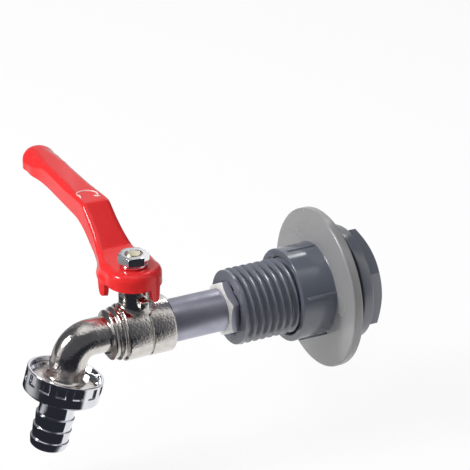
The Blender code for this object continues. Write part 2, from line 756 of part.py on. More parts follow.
def stem():
    """The stem: tang, flange, grooved shank, flats for the handle and the threaded end."""
    edge = 0.0005
    root = STEM_BORE - 2 * STEM_RING_RADIUS - 2 * CLEARANCE
    half = STEM_RING_RADIUS + CLEARANCE
    grooves = []
    for height in reversed(GROOVE_HEIGHTS):
        grooves += [(STEM_RADIUS, height + half), (root, height + half),
                    (root, height - half), (STEM_RADIUS, height - half)]
    item = turned("stem", [
        (0.0, STEM_TOP),
        (STEM_THREAD_RADIUS - edge, STEM_TOP),
        (STEM_THREAD_RADIUS, STEM_TOP - edge),
        (STEM_THREAD_RADIUS, HUB_CEILING - edge),
        (STEM_RADIUS, HUB_CEILING - edge - CLEARANCE),
        *grooves,
        (STEM_RADIUS, STEM_FLANGE_TOP),
        (STEM_FLANGE_RADIUS, STEM_FLANGE_TOP),
        (STEM_FLANGE_RADIUS, STEM_FLANGE_BOTTOM),
        (0.0, STEM_FLANGE_BOTTOM),
    ], BRASS, STEM_PLACE, steps=COARSE)
    tang = box("stem_tang",
               (-TANG_THICKNESS / 2, -TANG_WIDTH / 2, TANG_BOTTOM),
               (TANG_THICKNESS / 2, TANG_WIDTH / 2, STEM_FLANGE_BOTTOM + edge), STEM_PLACE)
    boolean(item, tang, "UNION")
    for name, side in (("stem_flat_front", -1), ("stem_flat_rear", 1)):
        near, far = sorted((side * STEM_FLAT / 2, side * STEM_RADIUS * 2))
        flat = box(name, (-STEM_RADIUS * 2, near, HUB_CEILING - edge),
                   (STEM_RADIUS * 2, far, STEM_TOP + edge), STEM_PLACE)
        boolean(item, flat)
    return item


def stem_rings():
    """The thrust washer under the bonnet and the two seal rings in the stem's grooves."""
    washer = turned("stem_thrust_washer", [
        (STEM_FLANGE_RADIUS, THRUST_WASHER_BOTTOM + WASHER_THICKNESS),
        (STEM_FLANGE_RADIUS, THRUST_WASHER_BOTTOM),
        (STEM_BORE, THRUST_WASHER_BOTTOM),
        (STEM_BORE, THRUST_WASHER_BOTTOM + WASHER_THICKNESS),
    ], WHITE_SEAL, STEM_PLACE, steps=COARSE)
    rings = []
    middle = STEM_BORE - CLEARANCE - STEM_RING_RADIUS
    for name, height in zip(("stem_o_ring_lower", "stem_o_ring_upper"), GROOVE_HEIGHTS):
        place = STEM_PLACE + Vector((0.0, 0.0, height))
        rings.append(torus(name, middle, STEM_RING_RADIUS, BLACK_RUBBER, place))
    return washer, rings


def gland():
    """The packing ring in the bonnet's chamber, and the gland nut that presses on it."""
    outer = PACKING_CHAMBER_RADIUS - CLEARANCE
    packing_top = (PACKING_FLOOR + BONNET_TOP) / 2
    packing = turned("gland_packing", [
        (outer, packing_top),
        (outer, PACKING_FLOOR + CLEARANCE),
        (STEM_BORE, PACKING_FLOOR + CLEARANCE),
        (STEM_BORE, packing_top),
    ], WHITE_SEAL, STEM_PLACE, steps=COARSE)
    nut = hexagon("gland_nut", GLAND_ACROSS_FLATS, GLAND_BOTTOM, GLAND_TOP, BRASS, STEM_PLACE)
    skirt = turned("gland_skirt", [
        (0.0, GLAND_TOP - CLEARANCE),
        (outer, GLAND_TOP - CLEARANCE),
        (outer, packing_top + CLEARANCE),
        (0.0, packing_top + CLEARANCE),
    ], None, STEM_PLACE, steps=COARSE)
    boolean(nut, skirt, "UNION")
    boolean(nut, round_hole("gland_hole", STEM_BORE, PACKING_FLOOR, GLAND_TOP))
    return packing, nut


def round_hole(name, radius, low, high):
    """A drill along the stem axis that runs past both heights."""
    past = 0.0010
    return turned(name, [(0.0, high + past), (radius, high + past), (radius, low - past),
                         (0.0, low - past)], None, STEM_PLACE, steps=COARSE)


def lever_outline(inset):
    """Plan of the handle as curve points: hub, waisted lever and round tip, set in by a wall."""
    hub = arc((0.0, 0.0), HUB_RADIUS - inset, math.radians(-100.0), math.radians(100.0), 7)
    upper = [(-reach, width - inset) for reach, width in LEVER_WIDTHS]
    tip = arc((-TIP_CENTRE, 0.0), TIP_RADIUS - inset, math.radians(75.0),
              math.radians(285.0), 6)
    lower = [(x, -y) for x, y in reversed(upper)]
    return hub + upper + tip + lower


def lever_side(drop):
    """Side view of the handle as (distance along -X, height) points, lowered by a wall."""
    hub_edge = -HUB_RADIUS * 1.2
    tip = TIP_CENTRE + TIP_RADIUS
    top = [(hub_edge, HUB_TOP - drop), (RISER_START, HUB_TOP - drop),
           (RISER_END, GRIP_TOP - drop)]
    if drop:
        dome = arc((tip - TIP_DOME, GRIP_TOP - TIP_DOME), TIP_DOME - drop,
                   math.radians(90.0), 0.0, 5)
        return top + dome + [(tip - drop, LEG_BOTTOM), (hub_edge, LEG_BOTTOM)]
    grip_bottom = GRIP_TOP - GRIP_DEPTH
    rise = grip_bottom - SKIRT_BOTTOM
    riser = [(RISER_END - back, SKIRT_BOTTOM + rise * share) for back, share in RISER_UNDERSIDE]
    past_tip = tip + TIP_RADIUS * 0.2
    return top + [(past_tip, GRIP_TOP), (past_tip, grip_bottom), *riser,
                  (0.0, SKIRT_BOTTOM), (hub_edge, SKIRT_BOTTOM)]


def side_prism(name, points):
    """A side view extruded across the lever, wider than the handle."""
    return prism(name, [(-x, z) for x, z in points], HUB_RADIUS * 4,
                 Matrix.Translation(STEM_PLACE) @ Matrix.Rotation(math.pi / 2, 4, "X"))


def tip_corner(name, height, radius):
    """The waste outside a rounded corner of the tip; a negative radius rounds the underside."""
    size = abs(radius)
    up = math.copysign(1.0, radius)
    middle = (TIP_CENTRE + TIP_RADIUS - size, height - radius)
    lean = math.radians(6.0)
    round_off = [(x, middle[1] + up * (z - middle[1]))
                 for x, z in arc(middle, size, math.pi / 2 - lean, lean, 5)]
    run = size * math.tan(lean) * 1.6
    start = (round_off[0][0] - run, round_off[0][1] + up * run * math.tan(lean))
    end = (round_off[-1][0] + run * math.tan(lean), round_off[-1][1] - up * run)
    far = middle[0] + size * 2
    return side_prism(name, [start, *round_off, end, (far, end[1]),
                             (far, height + up * size), (start[0], height + up * size)])


def handle_solid(name, inset, drop):
    """The handle's plan and side view, each extruded, and the solid that both hold."""
    height = GRIP_TOP * 2
    plan = prism(name, lever_outline(inset), height,
                 Matrix.Translation(STEM_PLACE + Vector((0.0, 0.0, height / 2))), bezier=True)
    return boolean(plan, side_prism(name + "_side", lever_side(drop)), "INTERSECT")


def leg_tool(name, start, angle, flare):
    """A tapered leg that hangs from the skirt's wall and leaves the hub's circle by a flare."""
    inset = CLEARANCE * 2 / 3
    outer, inner = [], []
    for step in range(LEG_STEPS + 1):
        part = step / LEG_STEPS
        radius = HUB_RADIUS + flare * part
        way = Vector((math.cos(start + angle * part), math.sin(start + angle * part)))
        outer.append(tuple(way * (radius - inset)))
        inner.append(tuple(way * (radius - HANDLE_WALL + inset)))
    top = SKIRT_BOTTOM + HANDLE_WALL
    middle = (top + LEG_BOTTOM) / 2
    tool = prism(name, outer + inner[::-1], top - LEG_BOTTOM,
                 Matrix.Translation(STEM_PLACE + Vector((0.0, 0.0, middle))))
    centre = start + angle / 2
    for vert in tool.data.vertices:
        if vert.co.z < 0:
            offset = math.remainder(math.atan2(vert.co.y, vert.co.x) - centre, 2 * math.pi)
            vert.co = Matrix.Rotation(-LEG_TAPER * offset, 3, "Z") @ vert.co
    return tool


def handle():
    """The lever handle: a hollow hub and channel, with two legs that meet the stop lug."""
    item = handle_solid("handle", 0.0, 0.0)
    CUTTERS.objects.unlink(item)
    TAP.objects.link(item)
    item.hide_render = False
    item.display_type = "TEXTURED"
    item.data.materials.append(material(RED_PAINT))
    bevel = item.modifiers.new("Bevel", "BEVEL")
    bevel.width = HANDLE_ROUNDING
    bevel.segments = 3
    bevel.limit_method = "ANGLE"
    bevel.angle_limit = math.radians(25.0)
    bevel.use_clamp_overlap = False
    boolean(item, tip_corner("tip_top_corner", GRIP_TOP, TIP_DOME))
    boolean(item, tip_corner("tip_low_corner", GRIP_TOP - GRIP_DEPTH, -TIP_UNDERCURVE))
    boolean(item, handle_solid("handle_hollow", HANDLE_WALL, HUB_TOP - HUB_CEILING))
    boolean(item, leg_tool("closed_leg", LUG_HALF_ANGLE, CLOSED_LEG_ANGLE, 0.0), "UNION")
    boolean(item, leg_tool("open_leg", -QUARTER_TURN - LUG_HALF_ANGLE, -OPEN_LEG_ANGLE,
                           OPEN_LEG_FLARE), "UNION")
    eye = round_hole("handle_eye", STEM_THREAD_RADIUS + CLEARANCE, HUB_CEILING, HUB_TOP)
    reach = STEM_RADIUS * 2
    half = STEM_FLAT / 2 + CLEARANCE
    flats = box("handle_flats", (-reach, -half, HUB_CEILING - reach),
                (reach, half, HUB_TOP + reach), STEM_PLACE)
    boolean(eye, flats, "INTERSECT")
    return boolean(item, eye)


def handle_fasteners():
    """The washer and the nut that hold the handle on its stem."""
    bore = STEM_THREAD_RADIUS + CLEARANCE
    washer = turned("handle_washer", [
        (HANDLE_WASHER_RADIUS, HANDLE_WASHER_TOP),
        (HANDLE_WASHER_RADIUS, HANDLE_WASHER_BOTTOM),
        (bore, HANDLE_WASHER_BOTTOM),
        (bore, HANDLE_WASHER_TOP),
    ], ZINC, STEM_PLACE, steps=COARSE)
    top = HANDLE_NUT_BOTTOM + HANDLE_NUT_HEIGHT
    nut = hexagon("handle_nut", HANDLE_NUT_ACROSS_FLATS, HANDLE_NUT_BOTTOM, top, ZINC,
                  STEM_PLACE, (0.0, 0.0, HANDLE_NUT_TURN))
    boolean(nut, round_hole("handle_nut_hole", bore, HANDLE_NUT_BOTTOM, top))
    return washer, nut


def union_nut():
    """The hose union's nut, with pockets round its rim for the fingers."""
    edge = 0.0004
    lip_bore = TAIL_SHANK_RADIUS + CLEARANCE
    lip_top = UNION_HEIGHT - UNION_LIP
    item = turned("union_nut", [
        (UNION_RADIUS - edge, 0.0),
        (UNION_RADIUS, -edge),
        (UNION_RADIUS, -UNION_HEIGHT + 5 * edge),
        (UNION_RADIUS - edge, -UNION_HEIGHT + 3 * edge),
        (UNION_RADIUS - 4 * edge, -UNION_HEIGHT),
        (lip_bore, -UNION_HEIGHT),
        (lip_bore, -lip_top),
        (UNION_BORE, -lip_top),
        (UNION_BORE, -OUTLET_COLLAR_TOP - 3 * edge),
        (UNION_RADIUS - UNION_RIM_WALL, -OUTLET_COLLAR_TOP + edge),
        (UNION_RADIUS - UNION_RIM_WALL, 0.0),
    ], CHROME, RIM_PLACE, OUTLET_AXIS, FINE)
    work = bmesh.new()
    for index in range(POCKET_COUNT):
        spin = Matrix.Rotation(index * 2 * math.pi / POCKET_COUNT, 4, "Z")
        middle = Vector((UNION_RADIUS + POCKET_DEPTH, 0.0, -POCKET_TOP - POCKET_HEIGHT / 2))
        size = Matrix.Diagonal((4 * POCKET_DEPTH, POCKET_WIDTH, POCKET_HEIGHT, 1.0))
        bmesh.ops.create_cube(work, size=1.0, matrix=spin @ Matrix.Translation(middle) @ size)
    mesh = bpy.data.meshes.new("union_pockets")
    work.to_mesh(mesh)
    work.free()
    return boolean(item, add_object("union_pockets", mesh, None, RIM_PLACE, OUTLET_AXIS))


def hose_washer():
    """The flat rubber washer between the outlet and the hose tail's flange."""
    bottom = HOSE_WASHER_TOP + HOSE_WASHER_THICKNESS
    outer = UNION_BORE - CLEARANCE
    return turned("hose_washer", [
        (outer, -HOSE_WASHER_TOP),
        (outer, -bottom),
        (TAIL_BORE, -bottom),
        (TAIL_BORE, -HOSE_WASHER_TOP),
    ], BLACK_RUBBER, RIM_PLACE, OUTLET_AXIS)


def hose_tail():
    """The hose tail: a flange held by the nut, a neck and three barbs."""
    edge = 0.0005
    barbs = []
    for index in range(BARB_COUNT):
        top = FIRST_BARB + index * BARB_PITCH
        root = BARB_ROOT if index else TAIL_NECK_RADIUS
        barbs += [(root, -top + edge / 5), (BARB_RADIUS, -top), (BARB_RADIUS, -top - edge)]
    return turned("hose_tail", [
        (UNION_BORE - CLEARANCE, -TAIL_FLANGE_TOP),
        (UNION_BORE - CLEARANCE, -TAIL_FLANGE_BOTTOM),
        (TAIL_SHANK_RADIUS, -TAIL_FLANGE_BOTTOM),
        (TAIL_SHANK_RADIUS, -UNION_HEIGHT),
        (TAIL_NECK_RADIUS, -UNION_HEIGHT - edge),
        *barbs,
        (BARB_ROOT - edge / 2, -TAIL_END + 2 * edge),
        (BARB_ROOT - 2 * edge, -TAIL_END),
        (TAIL_BORE, -TAIL_END),
        (TAIL_BORE, -TAIL_FLANGE_TOP),
    ], CHROME, RIM_PLACE, OUTLET_AXIS)


def hang_from_axis(pieces):
    """Parent the pieces that turn with the lever to an empty on the stem axis."""
    pivot = bpy.data.objects.new("handle_axis", None)
    pivot.location = STEM_PLACE
    TAP.objects.link(pivot)
    bpy.context.view_layer.update()
    for item in pieces:
        item.parent = pivot
        item.matrix_parent_inverse = pivot.matrix_world.inverted()


def build():
    """Make every piece of the tap."""
    tank_connector()
    flange_nut()
    head_gasket()
    end_adapter()
    seal_ring()
    valve_body()
    seat("seat_inlet", SEAT_INNER, SEAT_INNER + SEAT_LENGTH)
    seat("seat_outlet", SEAT_OUTER - SEAT_LENGTH, SEAT_OUTER)
    rings = stem_rings()[1]
    gland()
    turning = [ball(), stem(), *rings, handle(), *handle_fasteners()]
    hang_from_axis(turning)
    union_nut()
    hose_washer()
    hose_tail()


build()
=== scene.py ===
"""Looks of the water tank tap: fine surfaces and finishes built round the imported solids.

Shapes are worked out in millimetres in the tap's own frame and are written to the meshes in
metres. The tap's axis is Y and the spout points to -Y, so a station is a distance out from
the mounting face, along -Y. The stem stands on +Z, and the lever lies along -X when closed.
"""

import enum
import logging
import math
from collections.abc import Sequence
from dataclasses import dataclass, field

import bmesh
import bpy
import numpy as np
from mathutils import Matrix


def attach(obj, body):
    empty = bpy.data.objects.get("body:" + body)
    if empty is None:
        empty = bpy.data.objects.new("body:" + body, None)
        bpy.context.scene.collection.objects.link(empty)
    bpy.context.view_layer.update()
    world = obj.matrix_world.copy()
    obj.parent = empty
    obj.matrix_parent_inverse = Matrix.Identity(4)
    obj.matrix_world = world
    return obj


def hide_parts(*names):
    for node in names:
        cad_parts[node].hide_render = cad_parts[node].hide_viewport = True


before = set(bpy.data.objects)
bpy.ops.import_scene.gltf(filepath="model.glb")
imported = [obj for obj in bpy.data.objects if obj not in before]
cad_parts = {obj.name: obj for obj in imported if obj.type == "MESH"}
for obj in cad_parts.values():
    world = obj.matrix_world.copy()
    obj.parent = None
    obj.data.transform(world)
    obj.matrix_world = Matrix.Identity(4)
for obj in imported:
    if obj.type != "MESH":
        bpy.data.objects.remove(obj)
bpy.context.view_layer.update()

Array = np.ndarray
LOG = logging.getLogger("tap")

METRES_PER_MM = 0.001
MM_PER_METRE = 1000.0
FULL_TURN = 2.0 * math.pi
QUARTER_TURN = math.pi / 2
HALF_FLAT = math.pi / 6
CHAMFER_ANGLE = math.pi / 6
SMOOTH_LIMIT = math.radians(32.0)
BEVEL_SEGMENTS = 3
WELD_MM = 0.002
LEAST_LENGTH = 1e-12
LEAST_HALF_ANGLE = 1e-6
NUT_COLUMNS = 240


class Body(enum.Enum):
    """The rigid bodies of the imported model."""

    TAP = "tap"
    LEVER = "lever"


# Curves and surfaces


def unit(vectors: Array) -> Array:
    """Scale vectors to length one.

    Args:
        vectors: Vectors along the last axis.

    Returns:
        The same directions, with no length left at zero.
    """
    length = np.linalg.norm(vectors, axis=-1, keepdims=True)
    return vectors / np.maximum(length, LEAST_LENGTH)


def ease(share: Array) -> Array:
    """Rise smoothly from 0 to 1 as 3 s^2 - 2 s^3.

    Args:
        share: Values of s, held between 0 and 1.

    Returns:
        The eased values.
    """
    held = np.clip(share, 0.0, 1.0)
    return held * held * (3.0 - 2.0 * held)


def rounded(corners: Sequence[tuple[float, float, float]], steps: int = 6) -> Array:
    """Round the corners of a closed outline to arcs.

    With the corner at P and the tangent points at A and B, the arc is the rational curve
    ((1-t)^2 A + 2 t (1-t) w P + t^2 B) / ((1-t)^2 + 2 t (1-t) w + t^2), in which w is the
    sine of half the angle at the corner.

    Args:
        corners: Two coordinates and the rounding radius of each corner, in order.
        steps: Points on each arc, less one.

    Returns:
        The points of the rounded outline, with repeats left out.
    """
    table = np.array(corners, dtype=float)
    points, radius = table[:, :2], table[:, 2]
    before = unit(np.roll(points, 1, axis=0) - points)
    after = unit(np.roll(points, -1, axis=0) - points)
    half = np.arccos(np.clip((before * after).sum(axis=1), -1.0, 1.0)) / 2.0
    cut = (radius / np.tan(np.maximum(half, LEAST_HALF_ANGLE)))[:, None]
    start, end = points + before * cut, points + after * cut
    t = np.linspace(0.0, 1.0, steps + 1)[None, :, None]
    weight = np.sin(half)[:, None, None]
    top = ((1 - t) ** 2 * start[:, None] + 2 * t * (1 - t) * weight * points[:, None]
           + t ** 2 * end[:, None])
    outline = (top / ((1 - t) ** 2 + 2 * t * (1 - t) * weight + t ** 2)).reshape(-1, 2)
    gap = np.linalg.norm(outline - np.roll(outline, 1, axis=0), axis=1)
    return outline[gap > WELD_MM]


def oblong(first: tuple[float, float], second: tuple[float, float],
           cuts: Sequence[float], steps: int = 6) -> Array:
    """Outline of an oblong with rounded corners.

    Args:
        first: Its limits in the first coordinate.
        second: Its limits in the second coordinate.
        cuts: The rounding radii of its corners, from (low, low) by way of (high, low).
        steps: Points on each arc, less one.

    Returns:
        The points of the outline.
    """
    (a, b), (c, d) = first, second
    places = ((a, c), (b, c), (b, d), (a, d))
    return rounded([(*place, cut) for place, cut in zip(places, cuts)], steps)


def spline(knots: Array, count: int) -> Array:
    """Carry a natural cubic curve through knots.

    The second derivatives M at the knots solve the usual three-term equations
    h0 M0 + 2 (h0 + h1) M1 + h1 M2 = 6 (slope1 - slope0), with M zero at both ends, and the
    parameter is the distance from knot to knot.

    Args:
        knots: Points to pass through, one a row.
        count: Points wanted on the curve, evenly spread by that distance.

    Returns:
        The points of the curve.
    """
    step = np.linalg.norm(np.diff(knots, axis=0), axis=1)
    place = np.concatenate(([0.0], np.cumsum(step)))
    size = len(knots)
    matrix = np.eye(size)
    right = np.zeros_like(knots)
    middle = np.arange(1, size - 1)
    matrix[middle, middle - 1] = step[:-1]
    matrix[middle, middle] = 2.0 * (step[:-1] + step[1:])
    matrix[middle, middle + 1] = step[1:]
    slope = np.diff(knots, axis=0) / step[:, None]
    right[1:-1] = 6.0 * (slope[1:] - slope[:-1])
    bend = np.linalg.solve(matrix, right)
    wanted = np.linspace(0.0, place[-1], count)
    i = np.clip(np.searchsorted(place, wanted) - 1, 0, size - 2)
    h = step[i][:, None]
    a, b = (place[i + 1] - wanted)[:, None], (wanted - place[i])[:, None]
    return ((bend[i] * a ** 3 + bend[i + 1] * b ** 3) / (6.0 * h)
            + (knots[i] / h - bend[i] * h / 6.0) * a
            + (knots[i + 1] / h - bend[i + 1] * h / 6.0) * b)


@dataclass(frozen=True)
class Axis:
    """A line that pieces are turned about, with two directions across it."""

    origin: tuple[float, float, float]
    across: tuple[float, float, float]
    side: tuple[float, float, float]
    along: tuple[float, float, float]

    def place(self, first: Array, second: Array, height: Array) -> Array:
        """Put points at two distances across the axis and one along it.

        Args:
            first: Distances along the first direction across.
            second: Distances along the second direction across.
            height: Distances along the axis.

        Returns:
            Points in the tap's frame, in millimetres.
        """
        parts = np.broadcast_arrays(first, second, height)
        return (np.array(self.origin) + parts[0][..., None] * np.array(self.across)
                + parts[1][..., None] * np.array(self.side)
                + parts[2][..., None] * np.array(self.along))

    def turn(self, radius: Array, angle: Array, height: Array) -> Array:
        """Put points at a radius, an angle and a height: (r cos a, r sin a, h)."""
        return self.place(radius * np.cos(angle), radius * np.sin(angle), height)


STEM_STATION = 89.2
SPOUT_TILT = math.radians(16.8)
TAP_AXIS = Axis((0, 0, 0), (1, 0, 0), (0, 0, 1), (0, -1, 0))
STEM_AXIS = Axis((0, -STEM_STATION, 0), (1, 0, 0), (0, 1, 0), (0, 0, 1))
OUTLET_AXIS = Axis((0, -120.7, -12.6), (1, 0, 0),
                   (0, -math.cos(SPOUT_TILT), math.sin(SPOUT_TILT)),
                   (0, -math.sin(SPOUT_TILT), -math.cos(SPOUT_TILT)))


def angles(count: int) -> Array:
    """Angles evenly round a full turn, as one row."""
    return np.linspace(0.0, FULL_TURN, count, endpoint=False)[None, :]


def turned(axis: Axis, profile: Array, count: int = 192) -> Array:
    """Turn a profile of (radius, height) points about an axis.

    Args:
        axis: The axis of the piece.
        profile: The profile's points, one a row.
        count: Columns round the turn.

    Returns:
        The grid of points: a row for each profile point, a column for each angle.
    """
    return axis.turn(profile[:, :1], angles(count), profile[:, 1:])


class Shell:
    """Grids of points that together make one mesh."""

    def __init__(self) -> None:
        """Start with no faces."""
        self.points: list[Array] = []
        self.quads: list[Array] = []
        self.finish: list[Array] = []
        self.count = 0

    def add(self, grid: Array, closed_rows: bool = True, closed_columns: bool = True,
            finish: int = 0) -> "Shell":
        """Join the neighbours in a grid of points with four-sided faces.

        Args:
            grid: Points as rows by columns by three coordinates, in millimetres.
            closed_rows: True if the last row joins the first.
            closed_columns: True if the last column joins the first.
            finish: Which of the piece's materials the faces take.

        Returns:
            The same shell, for the next grid.
        """
        rows, columns = grid.shape[:2]
        i, j = np.meshgrid(np.arange(rows if closed_rows else rows - 1),
                           np.arange(columns if closed_columns else columns - 1),
                           indexing="ij")
        i2, j2 = (i + 1) % rows, (j + 1) % columns
        quads = np.stack([i * columns + j, i * columns + j2, i2 * columns + j2,
                          i2 * columns + j], axis=-1).reshape(-1, 4)
        self.points.append(grid.reshape(-1, 3))
        self.quads.append(quads + self.count)
        self.finish.append(np.full(len(quads), finish, dtype=np.int32))
        self.count += rows * columns
        return self

    def make(self, name: str, materials: Sequence[bpy.types.Material],
             bevel_mm: float = 0.0) -> bpy.types.Object:
        """Write the faces to a mesh object, with poles and seams closed.

        Args:
            name: The object's name.
            materials: The piece's materials, in the order that the faces number them.
            bevel_mm: Width of a bevel on the sharp edges, or zero for none.

        Returns:
            The object, linked to the scene at the origin.
        """
        points = np.concatenate(self.points) * METRES_PER_MM
        quads = np.concatenate(self.quads)
        mesh = bpy.data.meshes.new(name)
        mesh.vertices.add(len(points))
        mesh.vertices.foreach_set("co", points.astype(np.float32).ravel())
        mesh.loops.add(quads.size)
        mesh.loops.foreach_set("vertex_index", quads.astype(np.int32).ravel())
        mesh.polygons.add(len(quads))
        mesh.polygons.foreach_set("loop_start", np.arange(0, quads.size, 4, dtype=np.int32))
        mesh.polygons.foreach_set("material_index", np.concatenate(self.finish))
        mesh.update(calc_edges=True)
        work = bmesh.new()
        work.from_mesh(mesh)
        bmesh.ops.remove_doubles(work, verts=work.verts, dist=WELD_MM / 2 * METRES_PER_MM)
        bmesh.ops.recalc_face_normals(work, faces=work.faces)
        work.to_mesh(mesh)
        work.free()
        mesh.shade_smooth()
        mesh.set_sharp_from_angle(angle=SMOOTH_LIMIT)
        for material in materials:
            mesh.materials.append(material)
        item = bpy.data.objects.new(name, mesh)
        bpy.context.scene.collection.objects.link(item)
        if bevel_mm:
            bevel = item.modifiers.new("Edge rounding", "BEVEL")
            bevel.width = bevel_mm * METRES_PER_MM
            bevel.segments = BEVEL_SEGMENTS
            bevel.limit_method = "ANGLE"
            bevel.angle_limit = SMOOTH_LIMIT
            bevel.harden_normals = True
        return item


def hexagon_nut(axis: Axis, across_flats: float, bottom: float, top: float, bore: float,
                bottom_chamfer: bool = True, top_chamfer: bool = True,
                turn: float = 0.0, face_share: float = 0.95) -> Array:
    """Surface of a hexagonal nut whose corners are turned down at 30 degrees.

    At angle a from the middle of a flat the flat lies at (half the width) / cos a. A cone
    of 30 degrees cuts it, which drops the edge by (that radius less the cone's) times the
    tangent of 30 degrees, so the edge curves from corner to corner.

    Args:
        axis: The nut's axis.
        across_flats: Width across the flats.
        bottom: Height of the bottom face.
        top: Height of the top face.
        bore: Radius of the hole.
        bottom_chamfer: True if the bottom corners are turned down.
        top_chamfer: True if the top corners are turned down.
        turn: Angle that the corners are turned by.
        face_share: The turned face's radius as a share of half the width.

    Returns:
        The grid of points, closed both ways.
    """
    least_rim, lead = 0.05, 0.3
    angle = angles(NUT_COLUMNS)
    offset = np.mod(angle + HALF_FLAT, 2 * HALF_FLAT) - HALF_FLAT
    wall = across_flats / 2 / np.cos(offset)
    face = np.minimum(wall - least_rim, across_flats / 2 * face_share)
    drop = np.maximum(wall - face, 0.0) * math.tan(CHAMFER_ANGLE)
    low = bottom + drop * bottom_chamfer
    high = top - drop * top_chamfer
    hole = np.full_like(wall, bore)
    radius = np.concatenate([hole, hole + lead, face if bottom_chamfer else wall, wall,
                             wall, face if top_chamfer else wall, hole + lead, hole])
    level = np.ones_like(wall)
    height = np.concatenate([level * (bottom + lead), level * bottom, level * bottom, low,
                             high, level * top, level * top, level * (top - lead)])
    return axis.turn(radius, angle + turn, height)


# Finishes


def linear(code: str) -> tuple[float, float, float, float]:
    """Turn an sRGB hex code to a linear colour.

    Args:
        code: The colour as # and six hex digits.

    Returns:
        Red, green, blue and an alpha of one.
    """
    parts = np.array([int(code[i:i + 2], 16) for i in (1, 3, 5)]) / 255.0
    made = np.where(parts <= 0.04045, parts / 12.92, ((parts + 0.055) / 1.055) ** 2.4)
    return (*(float(part) for part in made), 1.0)


def add_node(tree: bpy.types.NodeTree, kind: str, settings: dict | None = None,
             links: dict | None = None) -> bpy.types.Node:
    """Add a node with its settings and links.

    Args:
        tree: The node tree.
        kind: The node's type name.
        settings: Values by property name, or by the name or number of an input.
        links: Output sockets by the name or number of the input that they feed.

    Returns:
        The node.
    """
    node = tree.nodes.new(kind)
    for key, value in (settings or {}).items():
        if isinstance(key, int) or key in node.inputs:
            node.inputs[key].default_value = value
        else:
            setattr(node, key, value)
    for key, socket in (links or {}).items():
        tree.links.new(socket, node.inputs[key])
    return node


def per_mm(size: float) -> float:
    """Texture scale that gives one feature about every so many millimetres."""
    return 1.0 / (size * METRES_PER_MM)


# The range of a noise's values that carries most of it, for the gloss and for the patches.
NOISE_LOW, NOISE_HIGH = 0.3, 0.7
PATCH_LOW, PATCH_HIGH = 0.35, 0.65
LEAST_ROUGHNESS = 0.02
# Numbers of the sockets that a Mix node uses for colours.
MIX_FIRST, MIX_SECOND, MIX_RESULT = 6, 7, 2


@dataclass(frozen=True)
class Finish:
    """A finish: its colour, gloss and how its surface is uneven.

    A slow noise mixes the colour with the shade and varies the roughness. The grain and the
    wave are bumps of the size and depth that their names say.
    """

    name: str
    colour: str
    roughness: float
    metallic: float = 0.0
    coat: float = 0.0
    sockets: tuple[tuple[str, float], ...] = ()
    shade: str = ""
    patch_mm: float = 8.0
    patch_share: float = 0.35
    roughness_spread: float = 0.05
    grain_mm: float = 0.5
    grain_depth_mm: float = 0.0
    wave_mm: float = 5.0
    wave_depth_mm: float = 0.0

    def build(self) -> bpy.types.Material:
        """Make the material, or return the one already made.

        Returns:
            The material.
        """
        made = bpy.data.materials.get(self.name)
        if made:
            return made
        made = bpy.data.materials.new(self.name)
        made.use_nodes = True
        tree = made.node_tree
        shader = tree.nodes["Principled BSDF"]
        shader.inputs["Metallic"].default_value = self.metallic
        shader.inputs["Coat Weight"].default_value = self.coat
        for name, value in self.sockets:
            shader.inputs[name].default_value = value
        place = add_node(tree, "ShaderNodeTexCoord").outputs["Object"]
        patch = add_node(tree, "ShaderNodeTexNoise",
                         {"Scale": per_mm(self.patch_mm), "Detail": 4.0}, {"Vector": place})
        spread = add_node(tree, "ShaderNodeMapRange",
                          {"From Min": NOISE_LOW, "From Max": NOISE_HIGH,
                           "To Min": max(self.roughness - self.roughness_spread,
                                         LEAST_ROUGHNESS),
                           "To Max": self.roughness + self.roughness_spread},
                          {"Value": patch.outputs["Fac"]})
        tree.links.new(spread.outputs["Result"], shader.inputs["Roughness"])
        share = add_node(tree, "ShaderNodeMapRange",
                         {"From Min": PATCH_LOW, "From Max": PATCH_HIGH,
                          "To Max": self.patch_share},
                         {"Value": patch.outputs["Fac"]})
        colour = add_node(tree, "ShaderNodeMix",
                          {"data_type": "RGBA", MIX_FIRST: linear(self.colour),
                           MIX_SECOND: linear(self.shade or self.colour)},
                          {0: share.outputs["Result"]})
        tree.links.new(colour.outputs[MIX_RESULT], shader.inputs["Base Color"])
        self.emboss(tree, place, shader.inputs["Normal"])
        return made

    def emboss(self, tree: bpy.types.NodeTree, place: bpy.types.NodeSocket,
               normal: bpy.types.NodeSocket) -> None:
        """Add the fine grain and the slow wave of the surface.

        Args:
            tree: The material's node tree.
            place: The socket that gives the place on the piece.
            normal: The shader's normal input.
        """
        bump = None
        for size, depth, detail in ((self.wave_mm, self.wave_depth_mm, 1.0),
                                    (self.grain_mm, self.grain_depth_mm, 3.0)):
            if not depth:
                continue
            noise = add_node(tree, "ShaderNodeTexNoise",
                             {"Scale": per_mm(size), "Detail": detail}, {"Vector": place})
            links = {"Height": noise.outputs["Fac"]}
            if bump:
                links["Normal"] = bump.outputs["Normal"]
            bump = add_node(tree, "ShaderNodeBump",
                            {"Strength": 1.0, "Distance": depth * METRES_PER_MM}, links)
        if bump:
            tree.links.new(bump.outputs["Normal"], normal)


